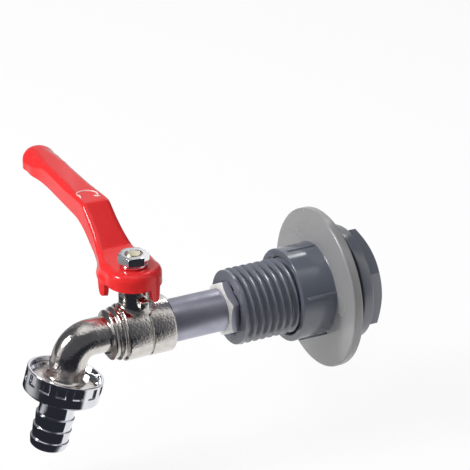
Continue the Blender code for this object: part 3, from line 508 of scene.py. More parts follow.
@dataclass(frozen=True)
class TurnedFinish(Finish):
    """A finish with the fine rings that a lathe leaves round an axis."""

    axis: Axis = TAP_AXIS
    ring_mm: float = 0.35
    ring_depth_mm: float = 0.01

    def emboss(self, tree: bpy.types.NodeTree, place: bpy.types.NodeSocket,
               normal: bpy.types.NodeSocket) -> None:
        """Add rings: a noise read at (distance from the axis, distance along it).

        Args:
            tree: The material's node tree.
            place: The socket that gives the place on the piece.
            normal: The shader's normal input.
        """
        origin = tuple(part * METRES_PER_MM for part in self.axis.origin)
        offset = add_node(tree, "ShaderNodeVectorMath", {"operation": "SUBTRACT", 1: origin},
                          {0: place})
        along = add_node(tree, "ShaderNodeVectorMath",
                         {"operation": "DOT_PRODUCT", 1: self.axis.along},
                         {0: offset.outputs["Vector"]})
        cross = add_node(tree, "ShaderNodeVectorMath",
                         {"operation": "CROSS_PRODUCT", 1: self.axis.along},
                         {0: offset.outputs["Vector"]})
        out = add_node(tree, "ShaderNodeVectorMath", {"operation": "LENGTH"},
                       {0: cross.outputs["Vector"]})
        read = add_node(tree, "ShaderNodeCombineXYZ", {},
                        {0: out.outputs["Value"], 1: along.outputs["Value"]})
        rings = add_node(tree, "ShaderNodeTexNoise",
                         {"Scale": per_mm(self.ring_mm), "Detail": 2.0},
                         {"Vector": read.outputs["Vector"]})
        bump = add_node(tree, "ShaderNodeBump",
                        {"Strength": 1.0, "Distance": self.ring_depth_mm * METRES_PER_MM},
                        {"Height": rings.outputs["Fac"]})
        tree.links.new(bump.outputs["Normal"], normal)


def mount(shell: Shell, name: str, finishes: Sequence[Finish], body: Body, slot: str,
          *nodes: str, bevel_mm: float = 0.0) -> None:
    """Make a piece and tie it to its body and the solids it stands for.

    Args:
        shell: The piece's surfaces.
        name: The object's name.
        finishes: Its finishes, in the order that the faces number them.
        body: The body that it moves with.
        slot: The record's material slot; not used.
        nodes: Names of the solids that it replaces.
        bevel_mm: Width of a bevel on the sharp edges, or zero for none.
    """
    item = shell.make(name, [finish.build() for finish in finishes], bevel_mm)
    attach(item, body.value)
    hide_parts(*nodes)
    LOG.info("%s: %d faces on %s", item.name, len(item.data.polygons), body.value)


# Rigid PVC from a polished mould: even grey, glossy, with the slow waves of cooling.
CONNECTOR_PVC = Finish("moulded_pvc_connector", "#666A74", 0.20, shade="#5D6169",
                       sockets=(("Specular IOR Level", 1.0),), patch_mm=9.0, grain_mm=0.7,
                       grain_depth_mm=0.004, wave_mm=7.0, wave_depth_mm=0.03)
# The nut's collar is the same plastic, a little glossier; its darker colour is painted shade,
# for the dark that its side reflects.
COLLAR_PVC_PAINTED_SHADE = Finish("moulded_pvc_collar_painted_shade", "#595E69", 0.17, shade="#515661", patch_mm=12.0,
                    sockets=(("Specular IOR Level", 1.0),), grain_mm=0.7,
                    grain_depth_mm=0.003, wave_mm=9.0, wave_depth_mm=0.03)
# The nut's disc is the same plastic, a little hazier; its paler colour is painted light, for the
# light that falls on its face.
DISC_PVC_PAINTED_LIGHT = Finish("moulded_pvc_disc_painted_light", "#868687", 0.26, shade="#838384", patch_mm=16.0,
                  sockets=(("Specular IOR Level", 1.0),), roughness_spread=0.02,
                  grain_mm=0.7, grain_depth_mm=0.003, wave_mm=12.0, wave_depth_mm=0.02)
# Nickel plate over a shot-blasted brass casting: warm grey, with a lively pebbled glitter.
# The real pits are some 0.2 mm wide, too fine to show, so they are drawn at about 1 mm.
CAST_NICKEL = Finish("nickel_on_blasted_casting", "#DAD6D2", 0.15, metallic=1.0,
                     shade="#C2BCB5", patch_mm=2.5, roughness_spread=0.05,
                     grain_mm=0.95, grain_depth_mm=0.11, wave_mm=2.6, wave_depth_mm=0.05)
# Nickel plate over turned brass: satin, with the rings of the lathe, which are drawn two or
# three times as coarse as a lathe's feed of 0.1 mm so that they show.
TURNED_NICKEL = TurnedFinish("nickel_on_turned_brass", "#B2B2C0", 0.38, metallic=1.0,
                             shade="#A0A0B0", patch_mm=5.0, ring_mm=0.30,
                             ring_depth_mm=0.012)
# The adapter's hexagon is faced with a coarse cut, so it is rougher; its near-white, part-matt
# colour is a painted highlight on its end face.
FACED_NICKEL_PAINTED_HIGHLIGHT = Finish("nickel_on_faced_hexagon_painted_highlight", "#F2F2F0", 0.5, metallic=0.3,
                      shade="#DEDDDA", patch_mm=1.5, grain_mm=0.5, grain_depth_mm=0.03)
# Bright chromium plate over turned brass: mirror-like, faintly blue, with faint rings that
# are drawn coarser than the real ones.
CHROME = TurnedFinish("chromium_plate_on_turned_brass", "#E4E5EA", 0.07, metallic=1.0,
                      shade="#DADCE4", patch_mm=4.0, roughness_spread=0.03,
                      axis=OUTLET_AXIS, ring_mm=0.6, ring_depth_mm=0.006)
# The same plate on a lapped ball: a clean mirror without rings.
BALL_CHROME = Finish("chromium_plate_on_ball", "#E6E6E9", 0.05, metallic=1.0,
                     roughness_spread=0.02, grain_mm=1.5, grain_depth_mm=0.001)
# Zinc plate on a steel nut and washer: bright, slightly blue, a little cloudy.
ZINC = Finish("bright_zinc_plate_on_steel", "#F0F2F5", 0.12, metallic=1.0,
              shade="#DCE0E8", patch_mm=1.6, roughness_spread=0.08, grain_mm=0.25,
              grain_depth_mm=0.004)
# Brass as the lathe left it: pale yellow and satin, ringed about the stem.
BRASS = TurnedFinish("turned_brass", "#EFE9D2", 0.34, metallic=1.0, shade="#D8CDA6",
                     patch_mm=3.0, axis=STEM_AXIS, ring_mm=0.25, ring_depth_mm=0.008)
# Baked red enamel on pressed steel: deep gloss with the faint waves of sprayed paint.
ENAMEL = Finish("baked_red_enamel", "#D82A2B", 0.32, coat=0.6, shade="#CF2326",
                sockets=(("Coat Roughness", 0.07), ("Specular IOR Level", 0.06)), patch_mm=14.0,
                grain_mm=0.9, grain_depth_mm=0.006, wave_mm=6.0, wave_depth_mm=0.04)
# The same enamel, painted pale pink on the raised mark: a painted highlight along its beads.
ENAMEL_PAINTED_HIGHLIGHT = Finish("enamel_painted_highlight_on_raised_mark", "#F0D2D0", 0.30, shade="#E7B9B7",
                     patch_mm=1.0)
# Nitrile rubber from a mould: near black and dull.
RUBBER = Finish("moulded_nitrile_rubber", "#1C1C1D", 0.62, shade="#242425", patch_mm=3.0,
                grain_mm=0.3, grain_depth_mm=0.01)
# Turned fluoropolymer: milky white with a waxy sheen.
FLUOROPOLYMER = Finish("turned_fluoropolymer", "#E9E8E2", 0.42, shade="#DEDCD4",
                       sockets=(("Subsurface Weight", 0.1),), patch_mm=4.0, grain_mm=0.4,
                       grain_depth_mm=0.004)


# Sub-assemblies


@dataclass
class TankConnection:
    """The plastic connector, its broad nut and its gasket. Stations run out along -Y."""

    crest: float = 16.6
    root: float = 14.3
    pitch: float = 3.443
    end: float = 46.0
    bore: float = 9.0
    socket: float = 10.9
    socket_floor: float = 30.0
    head: float = 25.5
    head_outer: float = -6.3
    head_inner: float = -11.3
    grip_flats: float = 42.0
    grip_end: float = -18.3
    gasket: float = 24.5
    wall: float = 3.0
    gasket_inner: float = -6.0
    clearance: float = 0.3
    flange: float = 35.45
    flange_thickness: float = 4.35
    collar: float = 20.5
    collar_end: float = 20.3
    ribs: int = 5
    rib: float = 0.8
    rib_setback: float = 2.1
    ridge_power: float = 1.2
    run_out: float = 1.9
    run_out_width: float = 0.5
    land_drop: float = 0.35
    lead_rise: float = 0.2
    lead_length: float = 0.7
    bore_chamfer: float = 0.8
    core: float = 12.3
    overlap: float = 0.4
    end_gap: float = 0.02
    grip_sink: float = 0.6
    nut_chamfer: float = 1.0
    nut_lead: float = 1.5
    nut_thread_start: float = 1.2
    columns: int = 168
    thread_rows: int = 330
    nut_columns: int = 192
    nut_rows: int = 110
    rib_columns: int = 24
    rib_rows: int = 25

    def thread(self, station: Array, angle: Array) -> Array:
        """Radius of the connector's thread.

        With p = station / pitch - angle / full turn, the radius is the root's plus the
        thread's depth times a power of (1/2 + 1/2 cos 2 pi p), which rounds the crests and
        widens the roots. A cone trims the crests at the connector's end.

        Args:
            station: Distances out from the mounting face.
            angle: Angles round the axis.

        Returns:
            The radii.
        """
        phase = station / self.pitch - angle / FULL_TURN
        ridge = (0.5 + 0.5 * np.cos(FULL_TURN * phase)) ** self.ridge_power
        radius = self.root + (self.crest - self.root) * ridge
        last = self.end - self.run_out
        plain = self.crest - self.land_drop
        radius = radius + (plain - radius) * ease((station - last) / self.run_out_width)
        past = np.maximum(station - (self.end - self.lead_length), 0.0)
        return np.minimum(radius, self.crest + self.lead_rise - past)

    def connector(self) -> None:
        """Build the connector: head, grip, threaded barrel and socket."""
        columns = angles(self.columns)
        start = self.head_outer + self.overlap
        station = np.linspace(start, self.end - self.end_gap, self.thread_rows)[:, None]
        barrel = TAP_AXIS.turn(self.thread(station, columns), columns, station)
        bore = turned(TAP_AXIS, rounded([
            (self.root, self.end, 0.0), (self.socket + self.bore_chamfer, self.end, 0.2),
            (self.socket, self.end - self.bore_chamfer, 0.2),
            (self.socket, self.socket_floor, 0.2), (self.bore, self.socket_floor, 0.3),
            (self.bore, self.grip_end, 0.0)], 3), self.columns)
        core = turned(TAP_AXIS, np.array([
            (self.bore, self.grip_end), (self.core, self.grip_end + 0.5),
            (self.core, self.head_outer), (self.core, start)]), self.columns)
        head = turned(TAP_AXIS, oblong((self.bore + 1.0, self.head),
                                       (self.head_outer, self.head_inner),
                                       (0.0, 0.5, 0.8, 0.0)))
        grip = hexagon_nut(TAP_AXIS, self.grip_flats, self.grip_end,
                           self.head_inner + self.grip_sink, self.bore, top_chamfer=False)
        shell = Shell().add(np.concatenate([barrel, bore, core])).add(head).add(grip)
        mount(shell, "threaded_connector", [CONNECTOR_PVC], Body.TAP, "connector_plastic",
              "tank_connector")

    def nut(self) -> None:
        """Build the flange nut: disc, collar, inner thread and ribs.

        The inner thread has the connector's own radius plus the clearance. A rib is a
        capsule: a circle carried along the axis, whose radius shrinks at each end as
        r sqrt(1 - t^2).
        """
        columns = angles(self.nut_columns)
        start = self.crest + self.clearance
        mouth = self.collar_end - self.nut_chamfer
        outline = rounded([
            (start + self.overlap, 0.0, 0.2), (self.flange, 0.0, 0.7),
            (self.flange, self.flange_thickness, 1.0),
            (self.collar, self.flange_thickness, 0.5), (self.collar, self.collar_end, 0.45),
            (start + self.nut_chamfer, self.collar_end, 0.3), (start, mouth, 0.0)], 7)
        inward = np.linspace(self.collar_end - self.nut_thread_start, self.overlap,
                             self.nut_rows)[:, None]
        thread = self.thread(inward, columns) + self.clearance
        thread = start + (thread - start) * ease((mouth - inward) / self.nut_lead)
        last = np.flatnonzero(outline[:, 0] > self.collar + 0.3)[-1]
        # The disc's rows take the paler finish (painted light); collar, thread and ribs take the
        # darker one (painted shade).
        shell = Shell().add(turned(TAP_AXIS, outline[:last + 1]), closed_rows=False, finish=1)
        shell.add(np.concatenate([
            turned(TAP_AXIS, outline[last:]), TAP_AXIS.turn(thread, columns, inward),
            turned(TAP_AXIS, outline[:1])]), closed_rows=False)
        share = np.linspace(-1.0, 1.0, self.rib_rows)[:, None]
        front = self.collar_end - self.rib_setback - self.rib
        middle = np.where(share > 0, front, self.flange_thickness / 2) + self.rib * share
        swell = self.rib * np.sqrt(np.clip(1.0 - share ** 2, 0.0, 1.0))
        centre = self.collar - self.rib / 4
        for index in range(self.ribs):
            spin = QUARTER_TURN + index * FULL_TURN / self.ribs
            rib = Axis((centre * math.cos(spin), 0, centre * math.sin(spin)),
                       TAP_AXIS.across, TAP_AXIS.side, TAP_AXIS.along)
            shell.add(rib.turn(swell, angles(self.rib_columns), middle), closed_rows=False)
        mount(shell, "flange_nut_fine", [COLLAR_PVC_PAINTED_SHADE, DISC_PVC_PAINTED_LIGHT], Body.TAP, "flange_plastic",
              "flange_nut")

    def gasket_ring(self) -> None:
        """Build the rubber gasket behind the wall."""
        ring = oblong((self.crest + self.clearance, self.gasket),
                      (-self.wall, self.gasket_inner), (0.3, 0.5, 0.5, 0.3))
        mount(Shell().add(turned(TAP_AXIS, ring)), "head_gasket_fine", [RUBBER], Body.TAP,
              "black_rubber", "head_gasket")

    def build(self) -> None:
        """Build every piece of the connection."""
        self.connector()
        self.nut()
        self.gasket_ring()


@dataclass
class InletAdapter:
    """The pipe thread, hexagon and tube between the connector and the valve's body."""

    thread: float = 10.6
    thread_end: float = 31.3
    thread_pitch: float = 1.8
    flats: float = 22.0
    hex_inner: float = 46.3
    hex_outer: float = 50.3
    tube: float = 9.23
    tube_end: float = 77.5
    nose: float = 7.93
    nose_end: float = 79.7
    bore: float = 7.6
    waterway: float = 5.0
    bore_end: float = 62.7
    thread_depth: float = 0.9
    thread_lead: float = 1.5
    thread_gap: float = 0.3
    thread_sink: float = 0.5
    mouth: float = 9.4
    overlap: float = 0.4
    face_row: int = 4
    columns: int = 168
    thread_rows: int = 90

    def build(self) -> None:
        """Build the adapter as a turned tube with a hexagon round it.

        With p = station / pitch - angle / full turn, the pipe thread stands above its root
        by its depth times (1/2 + 1/2 cos 2 pi p), and fades in from its end.
        """
        columns = angles(self.columns)
        station = np.linspace(self.thread_end + self.thread_gap,
                              self.hex_inner + self.thread_sink, self.thread_rows)[:, None]
        phase = station / self.thread_pitch - columns / FULL_TURN
        ridge = 0.5 + 0.5 * np.cos(FULL_TURN * phase)
        lead = ease((station - self.thread_end) / self.thread_lead)
        pipe = TAP_AXIS.turn(self.thread - self.thread_depth
                             + self.thread_depth * ridge * lead, columns, station)
        outside = rounded([
            (self.tube, self.hex_inner + 1.0, 0.0), (self.tube, self.tube_end, 0.2),
            (self.nose, self.tube_end, 0.0), (self.nose, self.nose_end, 0.2),
            (self.waterway, self.nose_end, 0.2),
            (self.waterway, self.bore_end + self.bore - self.waterway, 0.4),
            (self.bore, self.bore_end, 0.4), (self.bore, self.thread_end, 0.3),
            (self.mouth, self.thread_end, 0.0)], 4)
        shell = Shell().add(np.concatenate([pipe, turned(TAP_AXIS, outside, self.columns)]))
        hexagon = hexagon_nut(TAP_AXIS, self.flats, self.hex_inner, self.hex_outer,
                              self.bore + self.overlap, bottom_chamfer=False)
        # The flats take the turned finish; the end face, its chamfer and bore take the faced
        # one, whose pale colour is a painted highlight.
        shell.add(hexagon[:self.face_row + 1], closed_rows=False)
        shell.add(np.concatenate([hexagon[self.face_row:], hexagon[:1]]),
                  closed_rows=False, finish=1)
        mount(shell, "inlet_adapter", [TURNED_NICKEL, FACED_NICKEL_PAINTED_HIGHLIGHT], Body.TAP,
              "nickel_plate", "end_adapter", bevel_mm=0.12)


@dataclass
class ValveBody:
    """The cast body: barrel with its rings, bonnet, stop lug, spout and outlet collar."""

    barrel: float = 12.2
    inner_end: float = 75.1
    socket: float = 9.53
    socket_floor: float = 79.1
    cavity: float = 8.4
    cavity_end: float = 98.7
    port: float = 4.6
    seam: float = 86.0
    seam_depth: float = 0.9
    barrel_end: float = 96.2
    shoulder: float = 10.8
    first_ring: float = 98.5
    first_radius: float = 11.4
    waist: float = 9.9
    second_ring: float = 101.8
    second_radius: float = 10.7
    spout_root: float = 8.6
    spout_start: float = 103.1
    spout: float = 7.6
    spout_inner_end: float = 100.2
    spout_rise: float = 1.0
    bend: float = 10.0
    bonnet: float = 6.7
    bonnet_top: float = 20.0
    foot: float = 1.4
    stem_bore: float = 3.8
    packing_bore: float = 4.7
    packing_floor: float = 17.3
    bonnet_waist: float = 16.0
    bore_top: float = 10.0
    bore_bottom: float = 8.9
    foot_sink: float = 1.2
    collar: float = 13.1
    collar_top: float = 3.0
    collar_bottom: float = 6.2
    lug_reach: float = 11.4
    lug_width: float = 4.0
    lug_height: float = 4.0
    lug_centre: float = 15.4
    lug_root: float = 4.0
    lug_cut: float = 0.7
    lug_ends: tuple[tuple[float, float], ...] = ((0.8, 1.0), (0.25, 0.86), (0.0, 0.66))
    barrel_columns: int = 200
    bonnet_columns: int = 144
    spout_columns: int = 96
    bend_rows: int = 40

    def barrel_surface(self) -> Array:
        """Turn the barrel with its seam and its two rings.

        Returns:
            The grid of points, closed both ways.
        """
        first, second, seam = self.first_ring, self.second_ring, self.seam
        groove = self.barrel - self.seam_depth
        return turned(TAP_AXIS, rounded([
            (self.socket, self.inner_end, 0.3), (self.barrel, self.inner_end, 1.1),
            (self.barrel, seam - 0.55, 0.12), (groove, seam - 0.03, 0.06),
            (groove, seam + 0.15, 0.06), (self.barrel - 0.15, seam + 0.45, 0.15),
            (self.barrel, self.barrel_end, 0.7), (self.shoulder, self.barrel_end + 0.9, 0.4),
            (self.shoulder - 0.2, first - 0.9, 0.3), (self.first_radius, first - 0.6, 0.35),
            (self.first_radius, first + 0.3, 0.7), (self.waist, first + 1.3, 0.5),
            (self.waist, second - 1.0, 0.3), (self.second_radius, second - 0.6, 0.35),
            (self.second_radius - 0.1, second + 0.2, 0.7),
            (self.spout_root, self.spout_start, 0.5), (self.port, self.spout_start, 0.0),
            (self.port, self.cavity_end, 0.0), (self.cavity, self.cavity_end, 0.0),
            (self.cavity, self.socket_floor, 0.0), (self.socket, self.socket_floor, 0.0)]),
            self.barrel_columns)

    def bonnet_surface(self) -> Array:
        """Turn the bonnet, with a foot that lies on the barrel.

        The barrel's top stands at sqrt(R^2 - x^2). With t from 0 to a quarter turn, the
        foot is at radius b + f (1 - cos t) and f (1 - sin t) above the barrel.

        Returns:
            The grid of points, closed both ways.
        """
        around = angles(self.bonnet_columns)
        t = np.linspace(0.0, QUARTER_TURN, 8)[:, None]
        spread = self.bonnet + self.foot * (1.0 - np.cos(t)) + 0.0 * around
        rest = np.sqrt(self.barrel ** 2 - (spread * np.cos(around)) ** 2)
        foot = rest + self.foot * (1.0 - np.sin(t))
        crown = rounded([
            (self.stem_bore, self.bore_top, 0.0), (self.packing_bore, self.packing_floor, 0.0),
            (self.packing_bore, self.bonnet_top, 0.3), (self.bonnet, self.bonnet_top, 0.6),
            (self.bonnet, self.bonnet_waist, 0.0)])
        level = np.ones_like(around)
        radius = np.concatenate([crown[:, :1] * level, spread,
                                 (self.bonnet + self.foot) * level,
                                 self.stem_bore * level])
        height = np.concatenate([crown[:, 1:] * level, foot,
                                 foot[-1:] - self.foot_sink, self.bore_bottom * level])
        return STEM_AXIS.turn(radius, around, height)

    def lug_surface(self) -> Array:
        """Carry a rounded square out from the bonnet, with its end drawn in.

        The ends are pairs: the distance short of the tip, and the square's scale there.

        Returns:
            The grid of points, closed round and ending in a pole at each end.
        """
        half, tall = self.lug_width / 2, self.lug_height / 2
        square = oblong((-half, half), (-tall, tall), (self.lug_cut,) * 4, 5)
        short, drawn = np.array(self.lug_ends).T
        reach = np.array([self.lug_root, self.lug_root, *(self.lug_reach - short),
                          self.lug_reach])
        scale = np.array([0.0, 1.0, *drawn, 0.0])
        return STEM_AXIS.place(reach[:, None], square[None, :, 0] * scale[:, None],
                               self.lug_centre + square[None, :, 1] * scale[:, None])

    def spout_surface(self) -> Array:
        """Sweep the spout's wall along its centre line.

        The line runs straight out, then round an arc of the bend's radius, then straight
        to the outlet. Each section is a circle across the line's direction.

        Returns:
            The grid of points, closed both ways.
        """
        turn = QUARTER_TURN - SPOUT_TILT
        rim = np.array(OUTLET_AXIS.origin[1:])
        down = np.array([-math.sin(SPOUT_TILT), -math.cos(SPOUT_TILT)])
        corner = rim - down * (self.spout_rise - rim[1]) / math.cos(SPOUT_TILT)
        centre = corner + np.array([self.bend * math.tan(turn / 2), -self.bend])
        angle = np.linspace(0.0, turn, self.bend_rows)
        arc = centre + self.bend * np.stack([-np.sin(angle), np.cos(angle)], axis=1)
        line = np.concatenate([[(-self.spout_inner_end, self.spout_rise)], arc,
                               [rim + down * (self.collar_bottom - 0.5)]])
        lean = np.concatenate([[0.0], angle, [turn]])
        around = angles(self.spout_columns)
        normal = np.stack([np.sin(lean), -np.cos(lean)], axis=1)
        rows = []
        for radius, order in ((self.spout, 1), (self.port, -1)):
            path, across = line[::order, None, :], normal[::order, None, :]
            flat = path - radius * np.sin(around)[..., None] * across
            side = np.broadcast_to(radius * np.cos(around), flat.shape[:2])
            rows.append(np.concatenate([side[..., None], flat], axis=-1))
        return np.concatenate(rows)

    def build(self) -> None:
        """Build the body as one piece."""
        start, inside = 0.4, self.spout - 0.05
        outlet = turned(OUTLET_AXIS, rounded([
            (self.port, start, 0.0), (inside, start, 0.0), (inside, self.collar_top, 2.2),
            (self.collar, self.collar_top, 0.5), (self.collar, self.collar_bottom, 0.3),
            (self.port, self.collar_bottom, 0.3)]), self.bonnet_columns)
        shell = Shell()
        for grid in (self.barrel_surface(), self.bonnet_surface(), self.spout_surface(),
                     outlet):
            shell.add(grid)
        shell.add(self.lug_surface(), closed_rows=False)
        mount(shell, "cast_body", [CAST_NICKEL], Body.TAP, "nickel_plate", "valve_body")


@dataclass
class Stem:
    """The stem with its thread, the gland nut round it and the handle's fasteners."""

    shank: float = 3.5
    thread: float = 3.4
    pitch: float = 1.0
    top: float = 35.0
    thread_start: float = 26.7
    flange: float = 4.6
    flange_bottom: float = 8.7
    flange_top: float = 10.1
    tang_bottom: float = 5.8
    tang_half: tuple[float, float] = (1.25, 3.5)
    thread_depth: float = 0.45
    groove: float = 2.3
    groove_half: float = 0.75
    grooves: tuple[float, ...] = (13.4, 15.8)
    gland_flats: float = 12.0
    gland_bottom: float = 20.3
    gland_top: float = 24.0
    gland_skirt: float = 4.4
    gland_skirt_bottom: float = 18.95
    bore: float = 3.8
    washer: float = 5.75
    washer_bottom: float = 29.6
    washer_top: float = 30.8
    nut_flats: float = 11.5
    nut_bottom: float = 31.1
    nut_top: float = 34.7
    nut_turn: float = math.radians(19.0)
    columns: int = 64
    thread_rows: int = 100
    washer_columns: int = 144
    skirt_columns: int = 96

    def shaft(self) -> None:
        """Build the stem: tang, flange, grooved shank and threaded end.

        The thread's radius is its outer one less its depth times
        (1/2 - 1/2 cos 2 pi p), with p = height / pitch - angle / full turn.
        """
        around = angles(self.columns)
        height = np.linspace(self.thread_start, self.top - 0.5, self.thread_rows)[:, None]
        phase = height / self.pitch - around / FULL_TURN
        ridge = 0.5 - 0.5 * np.cos(FULL_TURN * phase)
        thread = STEM_AXIS.turn(self.thread - self.thread_depth * ridge, around, height)
        tip = np.array([(self.thread - 0.6, self.top - 0.15), (self.thread - 1.2, self.top),
                        (0.0, self.top)])
        lower = [(0.0, self.flange_bottom), (self.flange, self.flange_bottom),
                 (self.flange, self.flange_top), (self.shank, self.flange_top)]
        for middle in self.grooves:
            low, high = middle - self.groove_half, middle + self.groove_half
            lower += [(self.shank, low), (self.groove, low), (self.groove, high),
                      (self.shank, high)]
        lower.append((self.shank, self.thread_start - 0.3))
        shell = Shell().add(np.concatenate([
            turned(STEM_AXIS, np.array(lower), self.columns), thread,
            turned(STEM_AXIS, tip, self.columns)]), closed_rows=False)
        across, along = self.tang_half
        tang = oblong((-across, across), (-along, along), (0.2,) * 4, 3)
        scale = np.array([0.0, 1.0, 1.0, 0.0])[:, None]
        sunk = self.flange_bottom + 0.4
        level = np.array([self.tang_bottom, self.tang_bottom, sunk, sunk])[:, None]
        shell.add(STEM_AXIS.place(tang[None, :, 0] * scale, tang[None, :, 1] * scale, level),
                  closed_rows=False)
        mount(shell, "threaded_stem", [BRASS], Body.LEVER, "bare_brass", "stem")

    def gland(self) -> None:
        """Build the gland nut and its skirt."""
        skirt = oblong((self.bore, self.gland_skirt),
                       (self.gland_skirt_bottom, self.gland_top - 1.0),
                       (0.0, 0.2, 0.0, 0.0))
        shell = Shell().add(hexagon_nut(STEM_AXIS, self.gland_flats, self.gland_bottom,
                                        self.gland_top, self.bore))
        shell.add(turned(STEM_AXIS, skirt, self.skirt_columns))
        mount(shell, "gland_nut_fine", [BRASS], Body.TAP, "bare_brass", "gland_nut",
              bevel_mm=0.1)

    def fasteners(self) -> None:
        """Build the washer and the nut on top of the handle."""
        ring = oblong((self.bore, self.washer), (self.washer_bottom, self.washer_top),
                      (0.1, 0.2, 0.4, 0.1))
        mount(Shell().add(turned(STEM_AXIS, ring, self.washer_columns)),
              "handle_washer_fine", [ZINC], Body.LEVER, "zinc_plate", "handle_washer")
        nut = hexagon_nut(STEM_AXIS, self.nut_flats, self.nut_bottom, self.nut_top,
                          self.bore - 0.3, turn=self.nut_turn + HALF_FLAT, face_share=1.05)
        mount(Shell().add(nut), "handle_nut_fine", [ZINC], Body.LEVER, "zinc_plate",
              "handle_nut", bevel_mm=0.16)

    def build(self) -> None:
        """Build every piece on the stem."""
        self.shaft()
        self.gland()
        self.fasteners()


@dataclass
class Handle:
    """The pressed and enamelled lever: hub, riser, grip and two stop legs.

    Places run along x from the stem. The widths, the underside and the edges are tables of
    (place, half width), (place, height) and (place, rounding). A leg is its middle and half
    its width in degrees round the stem. The flare's ends are (place, length of the ease). An
    arc is its first angle, last angle and number of points, and fine is the same of places.
    """

    hub: float = 11.6
    hub_top: float = 29.3
    skirt_bottom: float = 22.0
    wall: float = 1.8
    riser_start: float = -19.0
    riser_end: float = -39.5
    grip_top: float = 42.5
    grip_bottom: float = 33.3
    tip_centre: float = -108.1
    tip: float = 7.8
    undercurve: float = 1.6
    widths: tuple[tuple[float, float], ...] = (
        (-100.0, 7.5), (-95.0, 6.7), (-88.0, 5.9), (-76.0, 5.8), (-62.0, 6.0),
        (-50.0, 6.2), (-34.0, 6.6), (-25.0, 7.3), (-18.0, 8.8), (-13.0, 10.4), (-8.0, 11.6))
    underside: tuple[tuple[float, float], ...] = (
        (-46.0, 33.3), (-38.0, 31.0), (-30.0, 27.0), (-22.0, 24.3), (-14.0, 22.4))
    skirt_end: float = -4.0
    leg_bottom: float = 16.0
    leg_power: float = 3.0
    leg_clear: float = 3.0
    legs: tuple[tuple[float, float], ...] = ((27.6, 14.0), (-114.6, 11.0))
    flare: float = 1.1
    flare_top: float = 25.8
    flare_start: tuple[float, float] = (-21.0, 8.0)
    flare_end: tuple[float, float] = (1.0, 6.0)
    grip_edge: float = 2.5
    edges: tuple[tuple[float, float], ...] = (
        (-115.9, 5.4), (-108.0, 6.4), (-102.0, 6.4), (-88.0, 2.5), (-60.0, 2.5),
        (-43.0, 1.2), (-33.0, 2.4), (-7.0, 3.0), (20.0, 3.0))
    least_edge: float = 0.4
    grip_bend: float = 5.0
    hub_bend: float = 6.0
    low_x: float = -200.0
    high_x: float = 50.0
    blur: int = 17
    mark: float = 0.36
    mark_centre: tuple[float, float] = (-47.2, -1.0)
    mark_radii: tuple[float, float] = (4.9, 4.8)
    mark_arc: tuple[float, float, int] = (243.0, 52.0, 9)
    mark_heads: tuple[tuple[tuple[float, float], ...], ...] = (
        ((-49.9, -4.9), (-47.2, -4.2), (-45.0, -4.7)),
        ((-45.6, 1.6), (-44.4, 2.6), (-43.8, 4.1)))
    bead_rows: int = 48
    bead_columns: int = 12
    tip_arc: tuple[float, float, int] = (180.0, 75.0, 9)
    hub_arc: tuple[float, float, int] = (99.0, 0.0, 11)
    fine: tuple[float, float, int] = (-130.0, 30.0, 641)
    columns: int = 460

    def outline(self) -> tuple[Array, Array]:
        """Work out half of the plan, from the tip's end round to the hub's.

        Returns:
            Points of the half plan with y above zero, and the inward directions there.
        """
        tip = np.radians(np.linspace(*self.tip_arc))
        hub = np.radians(np.linspace(*self.hub_arc))
        first = np.stack([self.tip_centre + self.tip * np.cos(tip),
                          self.tip * np.sin(tip)], axis=1)
        last = np.stack([self.hub * np.cos(hub), self.hub * np.sin(hub)], axis=1)
        knots = np.concatenate([first, np.array(self.widths), last])
        line = spline(knots, self.columns)
        line[[0, -1], 1] = 0.0
        tangent = unit(np.gradient(line, axis=0))
        tangent[0], tangent[-1] = (0.0, 1.0), (0.0, -1.0)
        return line, np.stack([tangent[:, 1], -tangent[:, 0]], axis=1)

    def top(self, x: Array) -> Array:
        """Height of the top face: flat hub, straight riser and flat grip, with soft bends.

        Args:
            x: Places along the lever.

        Returns:
            The heights.
        """
        line = rounded([
            (self.low_x, 0.0, 0.0), (self.low_x, self.grip_top, 0.0),
            (self.riser_end, self.grip_top, self.grip_bend),
            (self.riser_start, self.hub_top, self.hub_bend),
            (self.high_x, self.hub_top, 0.0), (self.high_x, 0.0, 0.0)], 14)
        line = line[line[:, 1] > self.hub_top - 1.0]
        order = np.argsort(line[:, 0])
        return np.interp(x, line[order, 0], line[order, 1])

    def turn_up(self, x: Array) -> Array:
        """Rise of the tip's lower edge: r - sqrt(r^2 - (r - d)^2) at distance d from its end.

        Args:
            x: Places along the lever.

        Returns:
            The rises, zero beyond the radius r.
        """
        radius = self.undercurve
        away = np.clip(x - (self.tip_centre - self.tip), 0.0, radius)
        return radius - np.sqrt(np.maximum(radius ** 2 - (radius - away) ** 2, 0.0))

    def bottom(self, x: Array, y: Array) -> Array:
        """Height of the wall's lower edge, with the two legs that hang from the skirt.

        The edge runs straight between the places in a table, and a moving mean softens it.
        A leg reaches down by its length times sqrt(1 - |t|^3), in which t runs from -1 to 1
        across it.

        Args:
            x: Places along the lever.
            y: Places across the lever.

        Returns:
            The heights.
        """
        table = np.array([(self.low_x, self.grip_bottom), *self.underside,
                          (self.skirt_end, self.skirt_bottom),
                          (self.high_x, self.skirt_bottom)])
        fine = np.linspace(*self.fine)
        level = np.interp(fine, table[:, 0], table[:, 1])
        window = np.hanning(2 * self.blur + 1)[1:-1] / self.blur
        soft = np.convolve(np.pad(level, self.blur - 1, mode="edge"), window, mode="valid")
        height = np.interp(x, fine, soft) + self.turn_up(x)
        angle = np.degrees(np.arctan2(y, x))
        on_hub = np.hypot(x, y) < self.hub + self.leg_clear
        for middle, half in self.legs:
            t = np.abs(angle - middle) / half
            reach = np.sqrt(np.clip(1.0 - t ** self.leg_power, 0.0, 1.0)) * on_hub
            height = height - (self.skirt_bottom - self.leg_bottom) * reach
        return height

